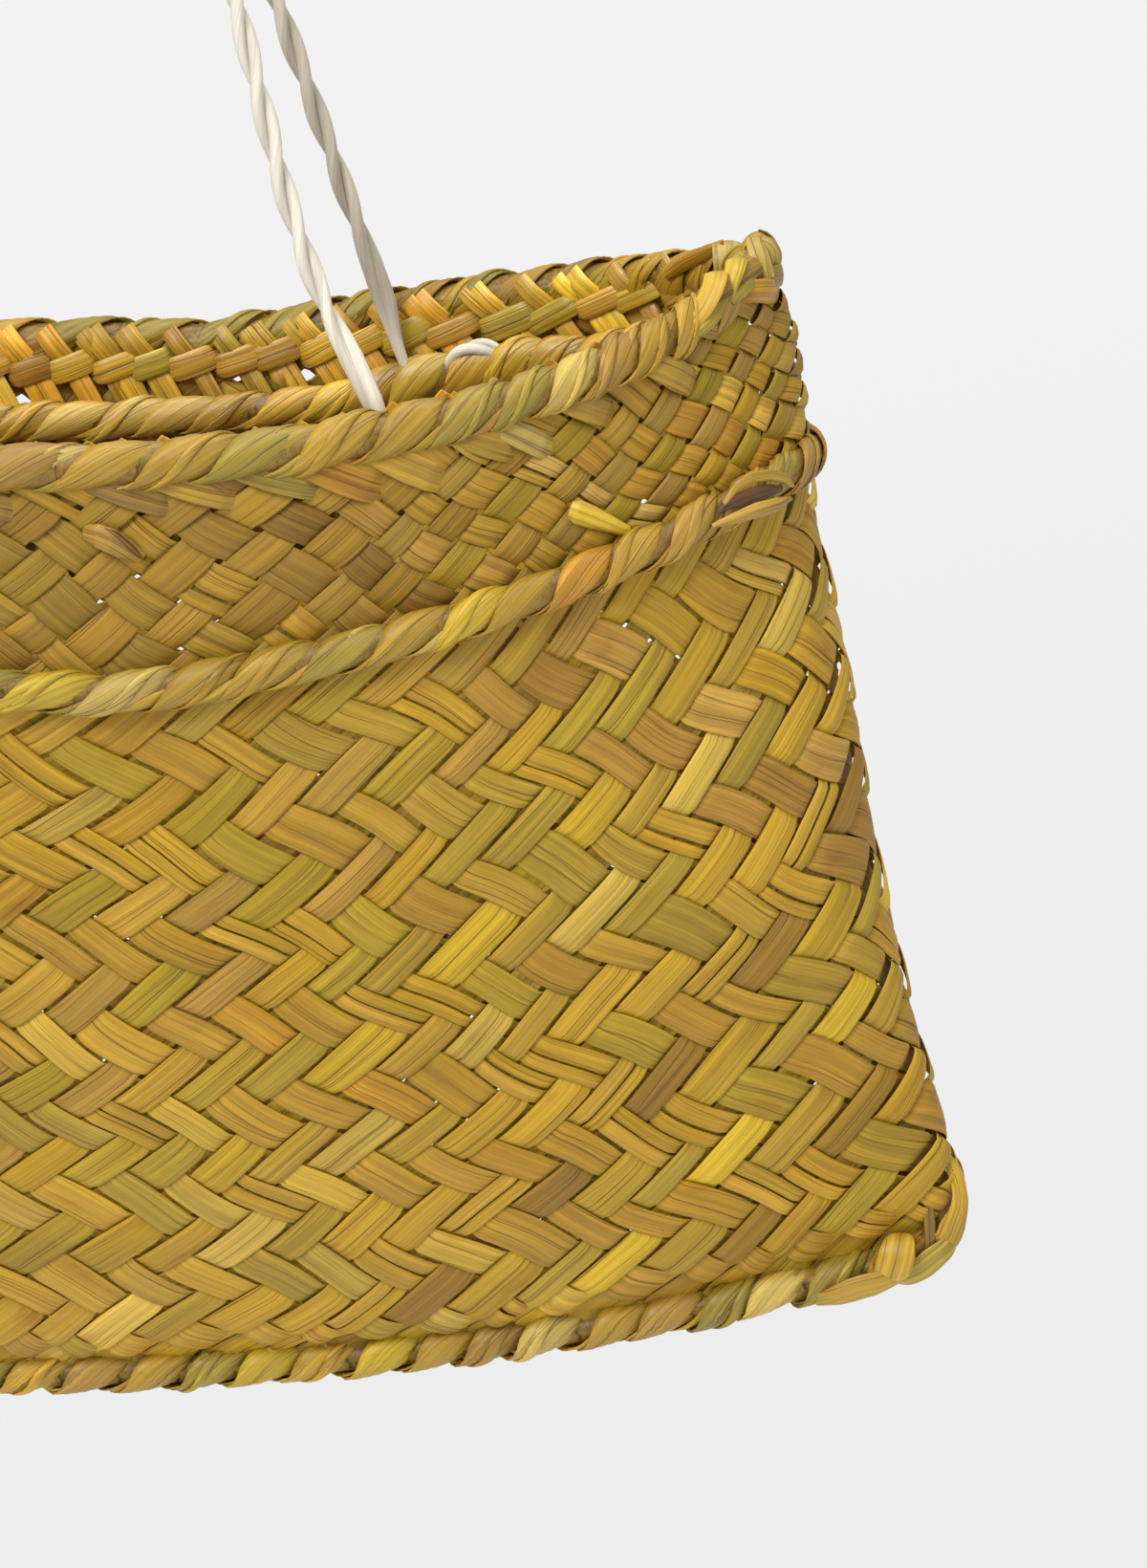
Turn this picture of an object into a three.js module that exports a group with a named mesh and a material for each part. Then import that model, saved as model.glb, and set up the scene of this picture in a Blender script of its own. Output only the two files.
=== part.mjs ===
// A woven flax-leaf carrying bag with two twisted cord handles, hanging from a peg.
//
// The bag is a flattened tube that rises from a plait along its base. A plaited ridge runs round the
// outside, the rim is plaited too, and the leaf ends that fold over the rim are held down inside by a
// third plait. Each cord handle runs up from one wall, over the peg and down to the same wall.
//
// Millimetres, +Z up, +X along the bag to the right, +Y towards its back. The origin is the top of the
// peg, halfway between the two handles. The weave itself is left out: walls and plaits are plain solids.

import * as THREE from 'three';

// Running clearance between touching pieces.
const GAP = 0.3;

// The bag's outline. Its own heights are counted from the middle of the rim's top edge.
const BAG_HEIGHT = 226;
const MOUTH_HALF_WIDTH = 137;
const BASE_HALF_WIDTH = 170;
const MOUTH_HALF_DEPTH = 46;
const SEAM_HALF_DEPTH = 5;
const WALL_THICKNESS = 2;

// How the outline changes with height: the sides flare to the base, and the belly fills out above it.
const FLARE_POWER = 1.25;
const BELLY_POWER = 0.75;

// How the level outline turns in at its two ends: a high side power keeps the long sides straight, and
// a low fold power draws the ends to a pinched fold.
const SIDE_POWER = 3.2;
const BASE_FOLD_POWER = 3;
const MOUTH_FOLD_POWER = 1.4;

// The rim, the ridge round the outside, the inner plait and the base all curve up towards the ends.
const RIM_RISE = 23;
const RIM_CURVE_POWER = 2.2;
const RIDGE_DROP = 52;
const RIDGE_RISE = 33;
const RIDGE_CURVE_POWER = 1.5;
const INNER_DROP = 19;
const INNER_RISE = 25;
const BASE_RISE = 22.5;
const BASE_CURVE_POWER = 2.1;

// The plaits' sections, depth square to the wall and height up the wall.
const RIM_DEPTH = 7;
const RIM_HEIGHT = 10;
const RIDGE_DEPTH = 6;
const RIDGE_HEIGHT = 8;
const INNER_DEPTH = 6;
const INNER_HEIGHT = 7;
const BASE_OVERHANG = 0.6;
const BASE_HEIGHT = 9;

// The leaf ends folded down inside the rim, as one thin layer against the wall.
const FACING_THICKNESS = 1.2;

// The knots at the two ends of the rim, and the folded leaf at the two ends of the base.
const KNOT_RISE = 6;
const KNOT_EXTRA_DEPTH = 1.5;
const EAR_THICKNESS = 5;
const EAR_WIDTH = 10;
const EAR_LENGTH = 22;

// Where the runs along the front and back end, and the pieces round the folds begin. A station counts
// quarters of the way round: 0 front middle, 1 right fold, 2 back middle, 3 left fold.
const FOLD_STATION = 0.75;
const INNER_END_STATION = 0.72;

// The cord handles. The rise is the height of the peg's top above the middle of the rim.
const CORD_DIAMETER = 4.8;
const PEG_RISE = 174;
const HANDLE_SPACING = 32;
const HINGE_RISE = 9;

// One half of a handle, in the handle's own leaning plane: distance from the middle, height above its foot.
const HANDLE_HALF_ROUTE = [
  [56.5, 0], [53.8, 10], [51.0, 20], [45.5, 40], [40.0, 60], [34.5, 80], [29.0, 100], [23.5, 120],
  [18.0, 140], [12.5, 160], [10.6, 166.7], [9.4, 169.6], [7.6, 171.8], [5.2, 173.6], [2.7, 174.6],
];

// A cord's tail inside the bag: distance from the middle, then height above the inner plait's top.
const TAIL_ROUTE = [[60.6, 2.2], [64, 0], [72, 0], [80, 0], [88, 0]];
const TAIL_BEND = [58.4, 5.6];

// Facets.
const WALL_COLUMNS = 22;
const FOLD_COLUMNS = 8;
const TWILL_ROWS = 8;
const BAND_ROWS = 3;
const FACING_ROWS = 1;
const PLAIT_SIDES = 10;
const EAR_STEPS = 8;
const CORD_SIDES = 8;
const HANDLE_STEPS = 60;
const TAIL_STEPS = 14;

// Plait sections are squarer than an ellipse.
const SECTION_POWER = 2.6;

// Full turns and quarter turns.
const QUARTER = Math.PI / 2;
const RIGHT_FOLD = 1;
const BACK_MIDDLE = 2;
const LEFT_FOLD = 3;
const HALF_WALL = WALL_THICKNESS / 2;
const CORD_RADIUS = CORD_DIAMETER / 2;

// Heights of the guide lines, where across is -1 at the left fold, 0 in the middle and 1 at the right.
const rimTop = (across) => RIM_RISE * Math.abs(across) ** RIM_CURVE_POWER;
const rimFoot = (across) => rimTop(across) - RIM_HEIGHT;
const ridgeLine = (across) => RIDGE_RISE * Math.abs(across) ** RIDGE_CURVE_POWER - RIDGE_DROP;
const innerLine = (across) => INNER_RISE * Math.abs(across) ** RIM_CURVE_POWER - INNER_DROP;
const baseFoot = (across) => BASE_RISE * Math.abs(across) ** BASE_CURVE_POWER - BAG_HEIGHT;
const baseTop = (across) => baseFoot(across) + BASE_HEIGHT;

// The level outline at a height: half width, half depth and fold power.
function outlineAt(across, height) {
  const seam = baseTop(across);
  const rise = THREE.MathUtils.clamp((height - seam) / (rimTop(across) - seam), 0, 1);
  return {
    halfWidth: MOUTH_HALF_WIDTH + (BASE_HALF_WIDTH - MOUTH_HALF_WIDTH) * (1 - rise) ** FLARE_POWER,
    halfDepth: SEAM_HALF_DEPTH + (MOUTH_HALF_DEPTH - SEAM_HALF_DEPTH) * Math.sin(QUARTER * rise ** BELLY_POWER),
    foldPower: THREE.MathUtils.lerp(BASE_FOLD_POWER, MOUTH_FOLD_POWER, rise),
  };
}

// A point at a station and height, set off square to the wall's middle surface, outwards if positive.
function wallPoint(station, height, offset) {
  const across = Math.sin(QUARTER * station);
  const facing = Math.cos(QUARTER * station);
  const { halfWidth, halfDepth, foldPower } = outlineAt(across, height);
  const inward = Math.max(0, 1 - Math.abs(across) ** SIDE_POWER) ** (1 / foldPower);
  const side = facing > 0 ? -1 : 1;
  const normalX = (SIDE_POWER / halfWidth) * Math.abs(across) ** (SIDE_POWER - 1) * Math.sign(across);
  const normalY = (foldPower / halfDepth) * inward ** (foldPower - 1) * side;
  const length = Math.hypot(normalX, normalY);
  return new THREE.Vector3(
    halfWidth * across + (offset * normalX) / length,
    halfDepth * inward * side + (offset * normalY) / length,
    height,
  );
}

const acrossAt = (station) => Math.sin(QUARTER * station);

// The small change of station that leaves the running clearance between two pieces end to end.
function stationGap(station) {
  return GAP / (MOUTH_HALF_WIDTH * QUARTER * Math.abs(Math.cos(QUARTER * station)));
}

// An indexed geometry from a list of points and a list of triangles.
function solid(points, triangles) {
  const geometry = new THREE.BufferGeometry();
  geometry.setFromPoints(points);
  geometry.setIndex(triangles.flat());
  geometry.computeVertexNormals();
  return geometry;
}

// A closed tube through rings of points, all with the same count, with flat ends.
function ringSolid(rings) {
  const count = rings[0].length;
  const triangles = [];
  for (let ring = 0; ring + 1 < rings.length; ring += 1) {
    for (let side = 0; side < count; side += 1) {
      const next = (side + 1) % count;
      const a = ring * count + side;
      const b = ring * count + next;
      triangles.push([a, b, a + count], [b, b + count, a + count]);
    }
  }
  const last = (rings.length - 1) * count;
  for (let side = 1; side + 1 < count; side += 1) {
    triangles.push([0, side + 1, side], [last, last + side, last + side + 1]);
  }
  return solid(rings.flat(), triangles);
}

// A thin curved panel between two stations and two guide lines, with its two faces at two offsets.
function panel({ from, to, columns, rows, foot, top, inner, outer }) {
  const rings = [];
  for (let column = 0; column <= columns; column += 1) {
    const station = THREE.MathUtils.lerp(from, to, column / columns);
    const across = acrossAt(station);
    const low = foot(across);
    const high = top(across);
    const face = (offset) => Array.from({ length: rows + 1 }, (_, row) => (
      wallPoint(station, THREE.MathUtils.lerp(low, high, row / rows), offset)));
    rings.push([...face(outer), ...face(inner).reverse()]);
  }
  return panelSolid(rings, rows);
}

// The same as ringSolid, with ends cut into quads across the panel's thickness.
function panelSolid(rings, rows) {
  const count = rings[0].length;
  const triangles = [];
  for (let ring = 0; ring + 1 < rings.length; ring += 1) {
    for (let side = 0; side < count; side += 1) {
      const next = (side + 1) % count;
      const a = ring * count + side;
      const b = ring * count + next;
      triangles.push([a, a + count, b], [b, a + count, b + count]);
    }
  }
  const last = (rings.length - 1) * count;
  for (let row = 0; row < rows; row += 1) {
    const far = count - 1 - row;
    triangles.push([row, row + 1, far], [row + 1, far - 1, far]);
    triangles.push([last + row, last + far, last + row + 1], [last + row + 1, last + far, last + far - 1]);
  }
  return solid(rings.flat(), triangles);
}

// One point of a rounded section with unit half sizes.
function sectionPoint(angle) {
  const round = (value) => Math.sign(value) * Math.abs(value) ** (2 / SECTION_POWER);
  return [round(Math.cos(angle)), round(Math.sin(angle))];
}

// A plait as a plain run that follows the wall, its section upright at every station.
function plaitRun({ from, to, steps, foot, top, centre, depth }) {
  const rings = [];
  for (let step = 0; step <= steps; step += 1) {
    const station = THREE.MathUtils.lerp(from, to, step / steps);
    const across = acrossAt(station);
    const low = foot(across, station);
    const high = top(across, station);
    const middle = (low + high) / 2;
    const ring = [];
    for (let side = 0; side < PLAIT_SIDES; side += 1) {
      const [out, up] = sectionPoint((2 * Math.PI * side) / PLAIT_SIDES);
      const point = wallPoint(station, middle, centre + (out * depth(station)) / 2);
      point.z += (up * (high - low)) / 2;
      ring.push(point);
    }
    rings.push(ring.reverse());
  }
  return ringSolid(rings);
}

// A round cord along a smooth curve through points.
function cordAlong(points, steps) {
  const section = new THREE.Shape();
  for (let side = 0; side < CORD_SIDES; side += 1) {
    const angle = (2 * Math.PI * side) / CORD_SIDES;
    const x = CORD_RADIUS * Math.cos(angle);
    const y = CORD_RADIUS * Math.sin(angle);
    if (side === 0) {
      section.moveTo(x, y);
    } else {
      section.lineTo(x, y);
    }
  }
  section.closePath();
  return new THREE.ExtrudeGeometry(section, {
    steps,
    bevelEnabled: false,
    extrudePath: new THREE.CatmullRomCurve3(points, false, 'centripetal'),
  });
}

// Colours and finishes, from the dried leaf and the cream cord.
const TWILL_LEAF = new THREE.MeshStandardMaterial({ color: 0xb8923c, roughness: 0.55, metalness: 0 });
const CHECK_LEAF = new THREE.MeshStandardMaterial({ color: 0xa98a35, roughness: 0.55, metalness: 0 });
const PLAIT_LEAF = new THREE.MeshStandardMaterial({ color: 0xc19a2e, roughness: 0.5, metalness: 0 });
const CREAM_CORD = new THREE.MeshStandardMaterial({ color: 0xe3d9c3, roughness: 0.8, metalness: 0 });

const bag = new THREE.Group();

function add(name, geometry, material) {
  const mesh = new THREE.Mesh(geometry, material);
  mesh.name = name;
  bag.add(mesh);
}

// The four stretches round the bag: two long sides and two folds, end to end with a running clearance.
const STRETCHES = [
  { name: 'front', from: -FOLD_STATION, to: FOLD_STATION, steps: WALL_COLUMNS },
  { name: 'right', from: FOLD_STATION, to: BACK_MIDDLE - FOLD_STATION, steps: FOLD_COLUMNS },
  { name: 'back', from: BACK_MIDDLE - FOLD_STATION, to: BACK_MIDDLE + FOLD_STATION, steps: WALL_COLUMNS },
  { name: 'left', from: BACK_MIDDLE + FOLD_STATION, to: LEFT_FOLD + RIGHT_FOLD - FOLD_STATION, steps: FOLD_COLUMNS },
].map((stretch) => ({
  ...stretch,
  from: stretch.from + stationGap(stretch.from) / 2,
  to: stretch.to - stationGap(stretch.to) / 2,
  isFold: stretch.name === 'right' || stretch.name === 'left',
}));

// How far a station is into a fold: 1 at the fold's tip, 0 from its ends on.
function foldNearness(station) {
  const fromTip = Math.min(Math.abs(station - RIGHT_FOLD), Math.abs(station - LEFT_FOLD));
  return Math.max(0, Math.cos((QUARTER * fromTip) / (1 - FOLD_STATION)));
}

// The twill-woven wall, from the base plait up to the ridge.
function twillWall({ name, from, to, steps, isFold }) {
  add(`${name}_twill_${isFold ? 'fold' : 'wall'}`, panel({
    from,
    to,
    columns: steps,
    rows: TWILL_ROWS,
    foot: (across) => baseTop(across) + GAP,
    top: (across) => ridgeLine(across) - GAP / 2,
    inner: -HALF_WALL,
    outer: HALF_WALL,
  }), TWILL_LEAF);
}

// The check-woven band, from the ridge up to the rim.
function checkBand({ name, from, to, steps, isFold }) {
  add(`${name}_check_${isFold ? 'fold' : 'band'}`, panel({
    from,
    to,
    columns: steps,
    rows: BAND_ROWS,
    foot: (across) => ridgeLine(across) + GAP / 2,
    top: (across) => rimFoot(across) - GAP,
    inner: -HALF_WALL,
    outer: HALF_WALL,
  }), CHECK_LEAF);
}

// The plaited rim along a wall, or its knotted corner round a fold.
function rim({ name, from, to, steps, isFold }) {
  add(`${name}_rim_${isFold ? 'corner' : 'plait'}`, plaitRun({
    from,
    to,
    steps,
    foot: rimFoot,
    top: (across, station) => rimTop(across) + (isFold ? KNOT_RISE * foldNearness(station) : 0),
    centre: 0,
    depth: (station) => RIM_DEPTH + (isFold ? KNOT_EXTRA_DEPTH * foldNearness(station) : 0),
  }), PLAIT_LEAF);
}

// The plaited ridge on the outside, over the joint between the twill and the check weave.
function ridge({ name, from, to, steps }) {
  add(`${name}_outer_plait`, plaitRun({
    from,
    to,
    steps,
    foot: (across) => ridgeLine(across) - RIDGE_HEIGHT / 2,
    top: (across) => ridgeLine(across) + RIDGE_HEIGHT / 2,
    centre: HALF_WALL + GAP + RIDGE_DEPTH / 2,
    depth: () => RIDGE_DEPTH,
  }), PLAIT_LEAF);
}

// Inside the rim: the folded leaf ends against the wall, and the plait that holds them down.
const FACING_BACK = -(HALF_WALL + GAP);
const FACING_FRONT = FACING_BACK - FACING_THICKNESS;

function insideOfRim(name, middle) {
  add(`${name}_rim_facing`, panel({
    from: middle - INNER_END_STATION,
    to: middle + INNER_END_STATION,
    columns: WALL_COLUMNS,
    rows: FACING_ROWS,
    foot: innerLine,
    top: (across) => rimFoot(across) - GAP,
    inner: FACING_FRONT,
    outer: FACING_BACK,
  }), CHECK_LEAF);
  add(`${name}_inner_plait`, plaitRun({
    from: middle - INNER_END_STATION,
    to: middle + INNER_END_STATION,
    steps: WALL_COLUMNS,
    foot: (across) => innerLine(across) - INNER_HEIGHT / 2,
    top: (across) => innerLine(across) + INNER_HEIGHT / 2,
    centre: FACING_FRONT - GAP - INNER_DEPTH / 2,
    depth: () => INNER_DEPTH,
  }), PLAIT_LEAF);
}

// The plait along the base, under both walls, out to the tips of the folds.
const BASE_HALF_LENGTH = BASE_HALF_WIDTH + HALF_WALL;
const BASE_HALF_DEPTH = SEAM_HALF_DEPTH + HALF_WALL + BASE_OVERHANG;

function basePlait() {
  const rings = [];
  for (let step = 0; step <= WALL_COLUMNS; step += 1) {
    const across = acrossAt(THREE.MathUtils.lerp(-RIGHT_FOLD, RIGHT_FOLD, step / WALL_COLUMNS));
    const middle = baseFoot(across) + BASE_HEIGHT / 2;
    const ring = [];
    for (let side = 0; side < PLAIT_SIDES; side += 1) {
      const [out, up] = sectionPoint((2 * Math.PI * (side + 1 / 2)) / PLAIT_SIDES);
      ring.push(new THREE.Vector3(
        BASE_HALF_LENGTH * across,
        BASE_HALF_DEPTH * out,
        middle + (up * BASE_HEIGHT) / 2,
      ));
    }
    rings.push(ring);
  }
  add('base_plait', ringSolid(rings), PLAIT_LEAF);
}

// The folded leaf at one end of the base, a spindle that leans on the outside of the fold.
const EAR_TIP_SHARE = 0.35;

function baseEar(name, station) {
  const across = acrossAt(station);
  const rings = [];
  for (let step = 0; step <= EAR_STEPS; step += 1) {
    const height = baseFoot(across) + (EAR_LENGTH * step) / EAR_STEPS;
    const fullness = THREE.MathUtils.lerp(EAR_TIP_SHARE, 1, Math.sin((Math.PI * step) / EAR_STEPS));
    const halfThickness = (EAR_THICKNESS * fullness) / 2;
    const centre = wallPoint(station, height, HALF_WALL + GAP + halfThickness);
    const ring = [];
    for (let side = 0; side < PLAIT_SIDES; side += 1) {
      const [out, along] = sectionPoint((2 * Math.PI * side) / PLAIT_SIDES);
      ring.push(new THREE.Vector3(
        centre.x + halfThickness * out,
        centre.y + (EAR_WIDTH * fullness * along) / 2,
        height,
      ));
    }
    rings.push(ring);
  }
  add(`${name}_base_ear`, ringSolid(rings), PLAIT_LEAF);
}

// Where a cord passes the rim: close inside it, at the foot of the handle.
const CORD_OFFSET = -(RIM_DEPTH / 2 + GAP + CORD_RADIUS);
const [FOOT_X] = HANDLE_HALF_ROUTE[0];
const stationOfX = (x) => Math.asin(x / MOUTH_HALF_WIDTH) / QUARTER;
const FOOT_STATION = stationOfX(FOOT_X);
const FOOT_HEIGHT = rimTop(acrossAt(FOOT_STATION));
const FOOT_DEPTH = -wallPoint(FOOT_STATION, FOOT_HEIGHT, CORD_OFFSET).y;
const APEX_HEIGHT = PEG_RISE + CORD_RADIUS;
const HANDLE_LEAN = Math.atan2(FOOT_DEPTH - HANDLE_SPACING / 2, APEX_HEIGHT - FOOT_HEIGHT);
const [, ROUTE_TOP] = HANDLE_HALF_ROUTE[HANDLE_HALF_ROUTE.length - 1];
const HANDLE_STRETCH = (APEX_HEIGHT - FOOT_HEIGHT) / Math.cos(HANDLE_LEAN) / ROUTE_TOP;

// A point of a handle's plane, in the bag's own heights. The front is side -1 and the back side 1.
function handlePoint(x, rise, side) {
  const up = rise * HANDLE_STRETCH;
  const depth = FOOT_DEPTH - up * Math.sin(HANDLE_LEAN);
  return new THREE.Vector3(x, side * depth, FOOT_HEIGHT + up * Math.cos(HANDLE_LEAN));
}

// The handle from hinge to hinge: it leaves out the short upright stub at each foot.
function handle(name, side) {
  const half = HANDLE_HALF_ROUTE.filter(([, rise]) => rise > HINGE_RISE);
  const slope = (half[0][0] - FOOT_X) / half[0][1];
  const start = [FOOT_X + slope * (HINGE_RISE + GAP), HINGE_RISE + GAP];
  const right = [start, ...half].map(([x, rise]) => handlePoint(x, rise, side));
  const top = handlePoint(0, ROUTE_TOP, side);
  const left = right.map((point) => new THREE.Vector3(-point.x, point.y, point.z)).reverse();
  add(`${name}_handle_cord`, cordAlong([...right, top, ...left], HANDLE_STEPS), CREAM_CORD);
}

// The cord's fixed end: up past the rim to the hinge, and down inside to lie along the inner plait.
function cordTail(name, side, hand) {
  const onPlait = ([x, rise]) => {
    const station = stationOfX(x);
    const height = innerLine(acrossAt(station)) + INNER_HEIGHT / 2 + GAP + CORD_RADIUS + rise;
    const point = wallPoint(station, height, CORD_OFFSET);
    return new THREE.Vector3(x, point.y * -side, height);
  };
  const [nextX, nextRise] = HANDLE_HALF_ROUTE[1];
  const slope = (nextX - FOOT_X) / nextRise;
  const points = [
    handlePoint(FOOT_X + slope * HINGE_RISE, HINGE_RISE, side),
    handlePoint(FOOT_X + (slope * HINGE_RISE) / 2, HINGE_RISE / 2, side),
    handlePoint(FOOT_X, 0, side),
    onPlait(TAIL_BEND),
    ...TAIL_ROUTE.map(onPlait),
  ].map((point) => new THREE.Vector3(point.x * hand, point.y, point.z));
  add(name, cordAlong(points, TAIL_STEPS), CREAM_CORD);
}

for (const stretch of STRETCHES) {
  twillWall(stretch);
  checkBand(stretch);
  rim(stretch);
  ridge(stretch);
}
insideOfRim('front', 0);
insideOfRim('back', BACK_MIDDLE);
basePlait();
baseEar('right', RIGHT_FOLD);
baseEar('left', LEFT_FOLD);
for (const [name, side] of [['front', -1], ['back', 1]]) {
  handle(name, side);
  cordTail(`${name}_right_cord_tail`, side, 1);
  cordTail(`${name}_left_cord_tail`, side, -1);
}

// The finished group hangs below the peg.
bag.position.z = -PEG_RISE;

export default bag;
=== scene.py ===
# %% [markdown]
# # A woven kete bag, strip by strip
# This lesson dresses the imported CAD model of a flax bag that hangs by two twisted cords. The CAD has
# plain shells for the walls and plain runs for the plaits. Here every leaf strip is modelled, because
# the shadows in the gaps between strips are what makes a weave look woven. A flat picture of a weave
# would fail at the edges and in close views.

import math

import bpy
import numpy as np
from mathutils import Matrix, Vector


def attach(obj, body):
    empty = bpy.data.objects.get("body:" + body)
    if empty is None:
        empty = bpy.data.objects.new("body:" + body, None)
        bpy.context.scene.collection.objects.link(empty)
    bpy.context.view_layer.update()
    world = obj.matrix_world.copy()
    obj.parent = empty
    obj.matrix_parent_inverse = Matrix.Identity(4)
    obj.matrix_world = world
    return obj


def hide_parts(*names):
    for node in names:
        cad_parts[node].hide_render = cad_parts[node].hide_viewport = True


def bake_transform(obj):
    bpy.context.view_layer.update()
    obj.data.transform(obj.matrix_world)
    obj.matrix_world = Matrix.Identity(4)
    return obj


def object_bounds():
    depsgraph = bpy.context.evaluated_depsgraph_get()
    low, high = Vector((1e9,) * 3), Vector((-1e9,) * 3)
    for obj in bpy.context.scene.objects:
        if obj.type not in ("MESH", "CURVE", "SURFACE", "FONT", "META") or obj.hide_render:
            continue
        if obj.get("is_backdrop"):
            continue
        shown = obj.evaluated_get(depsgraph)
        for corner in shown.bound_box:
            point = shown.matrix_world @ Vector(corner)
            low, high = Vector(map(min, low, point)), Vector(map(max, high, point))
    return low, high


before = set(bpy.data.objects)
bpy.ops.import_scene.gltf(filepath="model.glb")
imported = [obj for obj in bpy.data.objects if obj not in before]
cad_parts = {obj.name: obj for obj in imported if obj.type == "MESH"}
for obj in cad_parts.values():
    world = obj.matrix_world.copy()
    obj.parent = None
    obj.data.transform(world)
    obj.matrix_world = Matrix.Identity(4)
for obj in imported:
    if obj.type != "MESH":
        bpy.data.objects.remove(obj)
cad_box = [list(corner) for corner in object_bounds()]
print("CAD box", cad_box)

# %% [markdown]
# ## The sizes that drive the shape
# These repeat the CAD's own sizes in metres. The bag's outline is a curve that changes with height, and
# all that follows the wall (strips, plaits, cords) asks the same few functions where the wall is. That
# keeps each visible piece close to the solid that it stands for.

# %% Sizes
MM = 0.001
BAG_HEIGHT = 226 * MM
MOUTH_HALF_WIDTH = 137 * MM
BASE_HALF_WIDTH = 170 * MM
MOUTH_HALF_DEPTH = 46 * MM
SEAM_HALF_DEPTH = 5 * MM
FLARE_POWER, BELLY_POWER = 1.25, 0.75
SIDE_POWER, BASE_FOLD_POWER, MOUTH_FOLD_POWER = 3.2, 3.0, 1.4
RIM_RISE, RIM_CURVE_POWER = 23 * MM, 2.2
RIDGE_DROP, RIDGE_RISE, RIDGE_CURVE_POWER = 52 * MM, 33 * MM, 1.5
INNER_DROP, INNER_RISE = 19 * MM, 25 * MM
BASE_RISE, BASE_CURVE_POWER = 22.5 * MM, 2.1
RIM_DEPTH, RIDGE_DEPTH = 7 * MM, 6 * MM
INNER_DEPTH, INNER_HEIGHT = 6 * MM, 7 * MM
BASE_HEIGHT = 9 * MM
GAP = 0.3 * MM
HALF_WALL = 1 * MM
FACING_THICKNESS = 1.2 * MM
FOLD_STATION, INNER_END_STATION = 0.75, 0.72
CORD_DIAMETER = 4.8 * MM
PEG_RISE = 174 * MM
HANDLE_SPACING = 32 * MM
HINGE_RISE = 9 * MM

# %% [markdown]
# ## Where the wall is
# A station counts quarters of the way round the bag: 0 is the middle of the front, 1 the right-hand
# fold, 2 the middle of the back and 3 the left-hand fold. Heights are counted from the middle of the
# rim's top edge. Hand-made walls are never true, so a slow wave of up to 0.75 mm is added.

# %% Wall functions
QUARTER = math.pi / 2


def rim_top(across):
    return RIM_RISE * np.abs(across) ** RIM_CURVE_POWER


def ridge_line(across):
    return RIDGE_RISE * np.abs(across) ** RIDGE_CURVE_POWER - RIDGE_DROP


def inner_line(across):
    return INNER_RISE * np.abs(across) ** RIM_CURVE_POWER - INNER_DROP


def base_foot(across):
    return BASE_RISE * np.abs(across) ** BASE_CURVE_POWER - BAG_HEIGHT


def base_top(across):
    return base_foot(across) + BASE_HEIGHT


def hand_wave(station, height):
    """How far the wall strays from its true curve, outwards, as hand work does."""
    turn = QUARTER * station
    slow = np.sin(3 * turn + 31 * height + 0.6) * np.sin(19 * height + 1.1)
    quick = np.sin(7 * turn - 43 * height + 2.0)
    return (0.5 * slow + 0.25 * quick) * MM


def wall_point(station, height, offset=0.0):
    """A point of the wall's middle surface, or set off from it, outwards if positive."""
    station, height = np.broadcast_arrays(np.asarray(station, float), height)
    across, facing = np.sin(QUARTER * station), np.cos(QUARTER * station)
    seam = base_top(across)
    rise = np.clip((height - seam) / (rim_top(across) - seam), 0, 1)
    half_width = MOUTH_HALF_WIDTH + (BASE_HALF_WIDTH - MOUTH_HALF_WIDTH) * (1 - rise) ** FLARE_POWER
    belly = np.sin(QUARTER * rise**BELLY_POWER)
    half_depth = SEAM_HALF_DEPTH + (MOUTH_HALF_DEPTH - SEAM_HALF_DEPTH) * belly
    fold_power = BASE_FOLD_POWER + (MOUTH_FOLD_POWER - BASE_FOLD_POWER) * rise
    inward = np.maximum(0, 1 - np.abs(across) ** SIDE_POWER) ** (1 / fold_power)
    side = np.where(facing > 0, -1.0, 1.0)
    normal_x = SIDE_POWER / half_width * np.abs(across) ** (SIDE_POWER - 1) * np.sign(across)
    normal_y = fold_power / half_depth * inward ** (fold_power - 1) * side
    length = np.hypot(normal_x, normal_y)
    out = offset + hand_wave(station, height) * np.abs(facing)
    x = half_width * across + out * normal_x / length
    y = half_depth * inward * side + out * normal_y / length
    return np.stack([x, y, height - PEG_RISE], axis=-1)


# %% [markdown]
# ## The camera
# The photograph was taken from a little above and to the right of the bag's middle, with a long lens
# and the camera turned by a few degrees. The numbers come from fitting the rim, the ridge and the base
# of the CAD curves to the picture. The focal length is given in pixels of a 1200 by 1640 image.

# %% Camera
IMAGE_WIDTH, IMAGE_HEIGHT = 1200, 1640
AIM = Vector((0.0912, 0.0, -0.2666))
CAMERA_DISTANCE = 1.4
CAMERA_PITCH = math.radians(19.24)
CAMERA_ROLL = math.radians(2.73)
FOCAL_PIXELS = 7007
SENSOR = 36.0

camera_data = bpy.data.cameras.new("photo_camera")
camera_data.sensor_width = SENSOR
camera_data.lens = FOCAL_PIXELS / max(IMAGE_WIDTH, IMAGE_HEIGHT) * SENSOR
camera_data.clip_start, camera_data.clip_end = 0.05, 50
camera = bpy.data.objects.new("photo_camera", camera_data)
bpy.context.collection.objects.link(camera)

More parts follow.
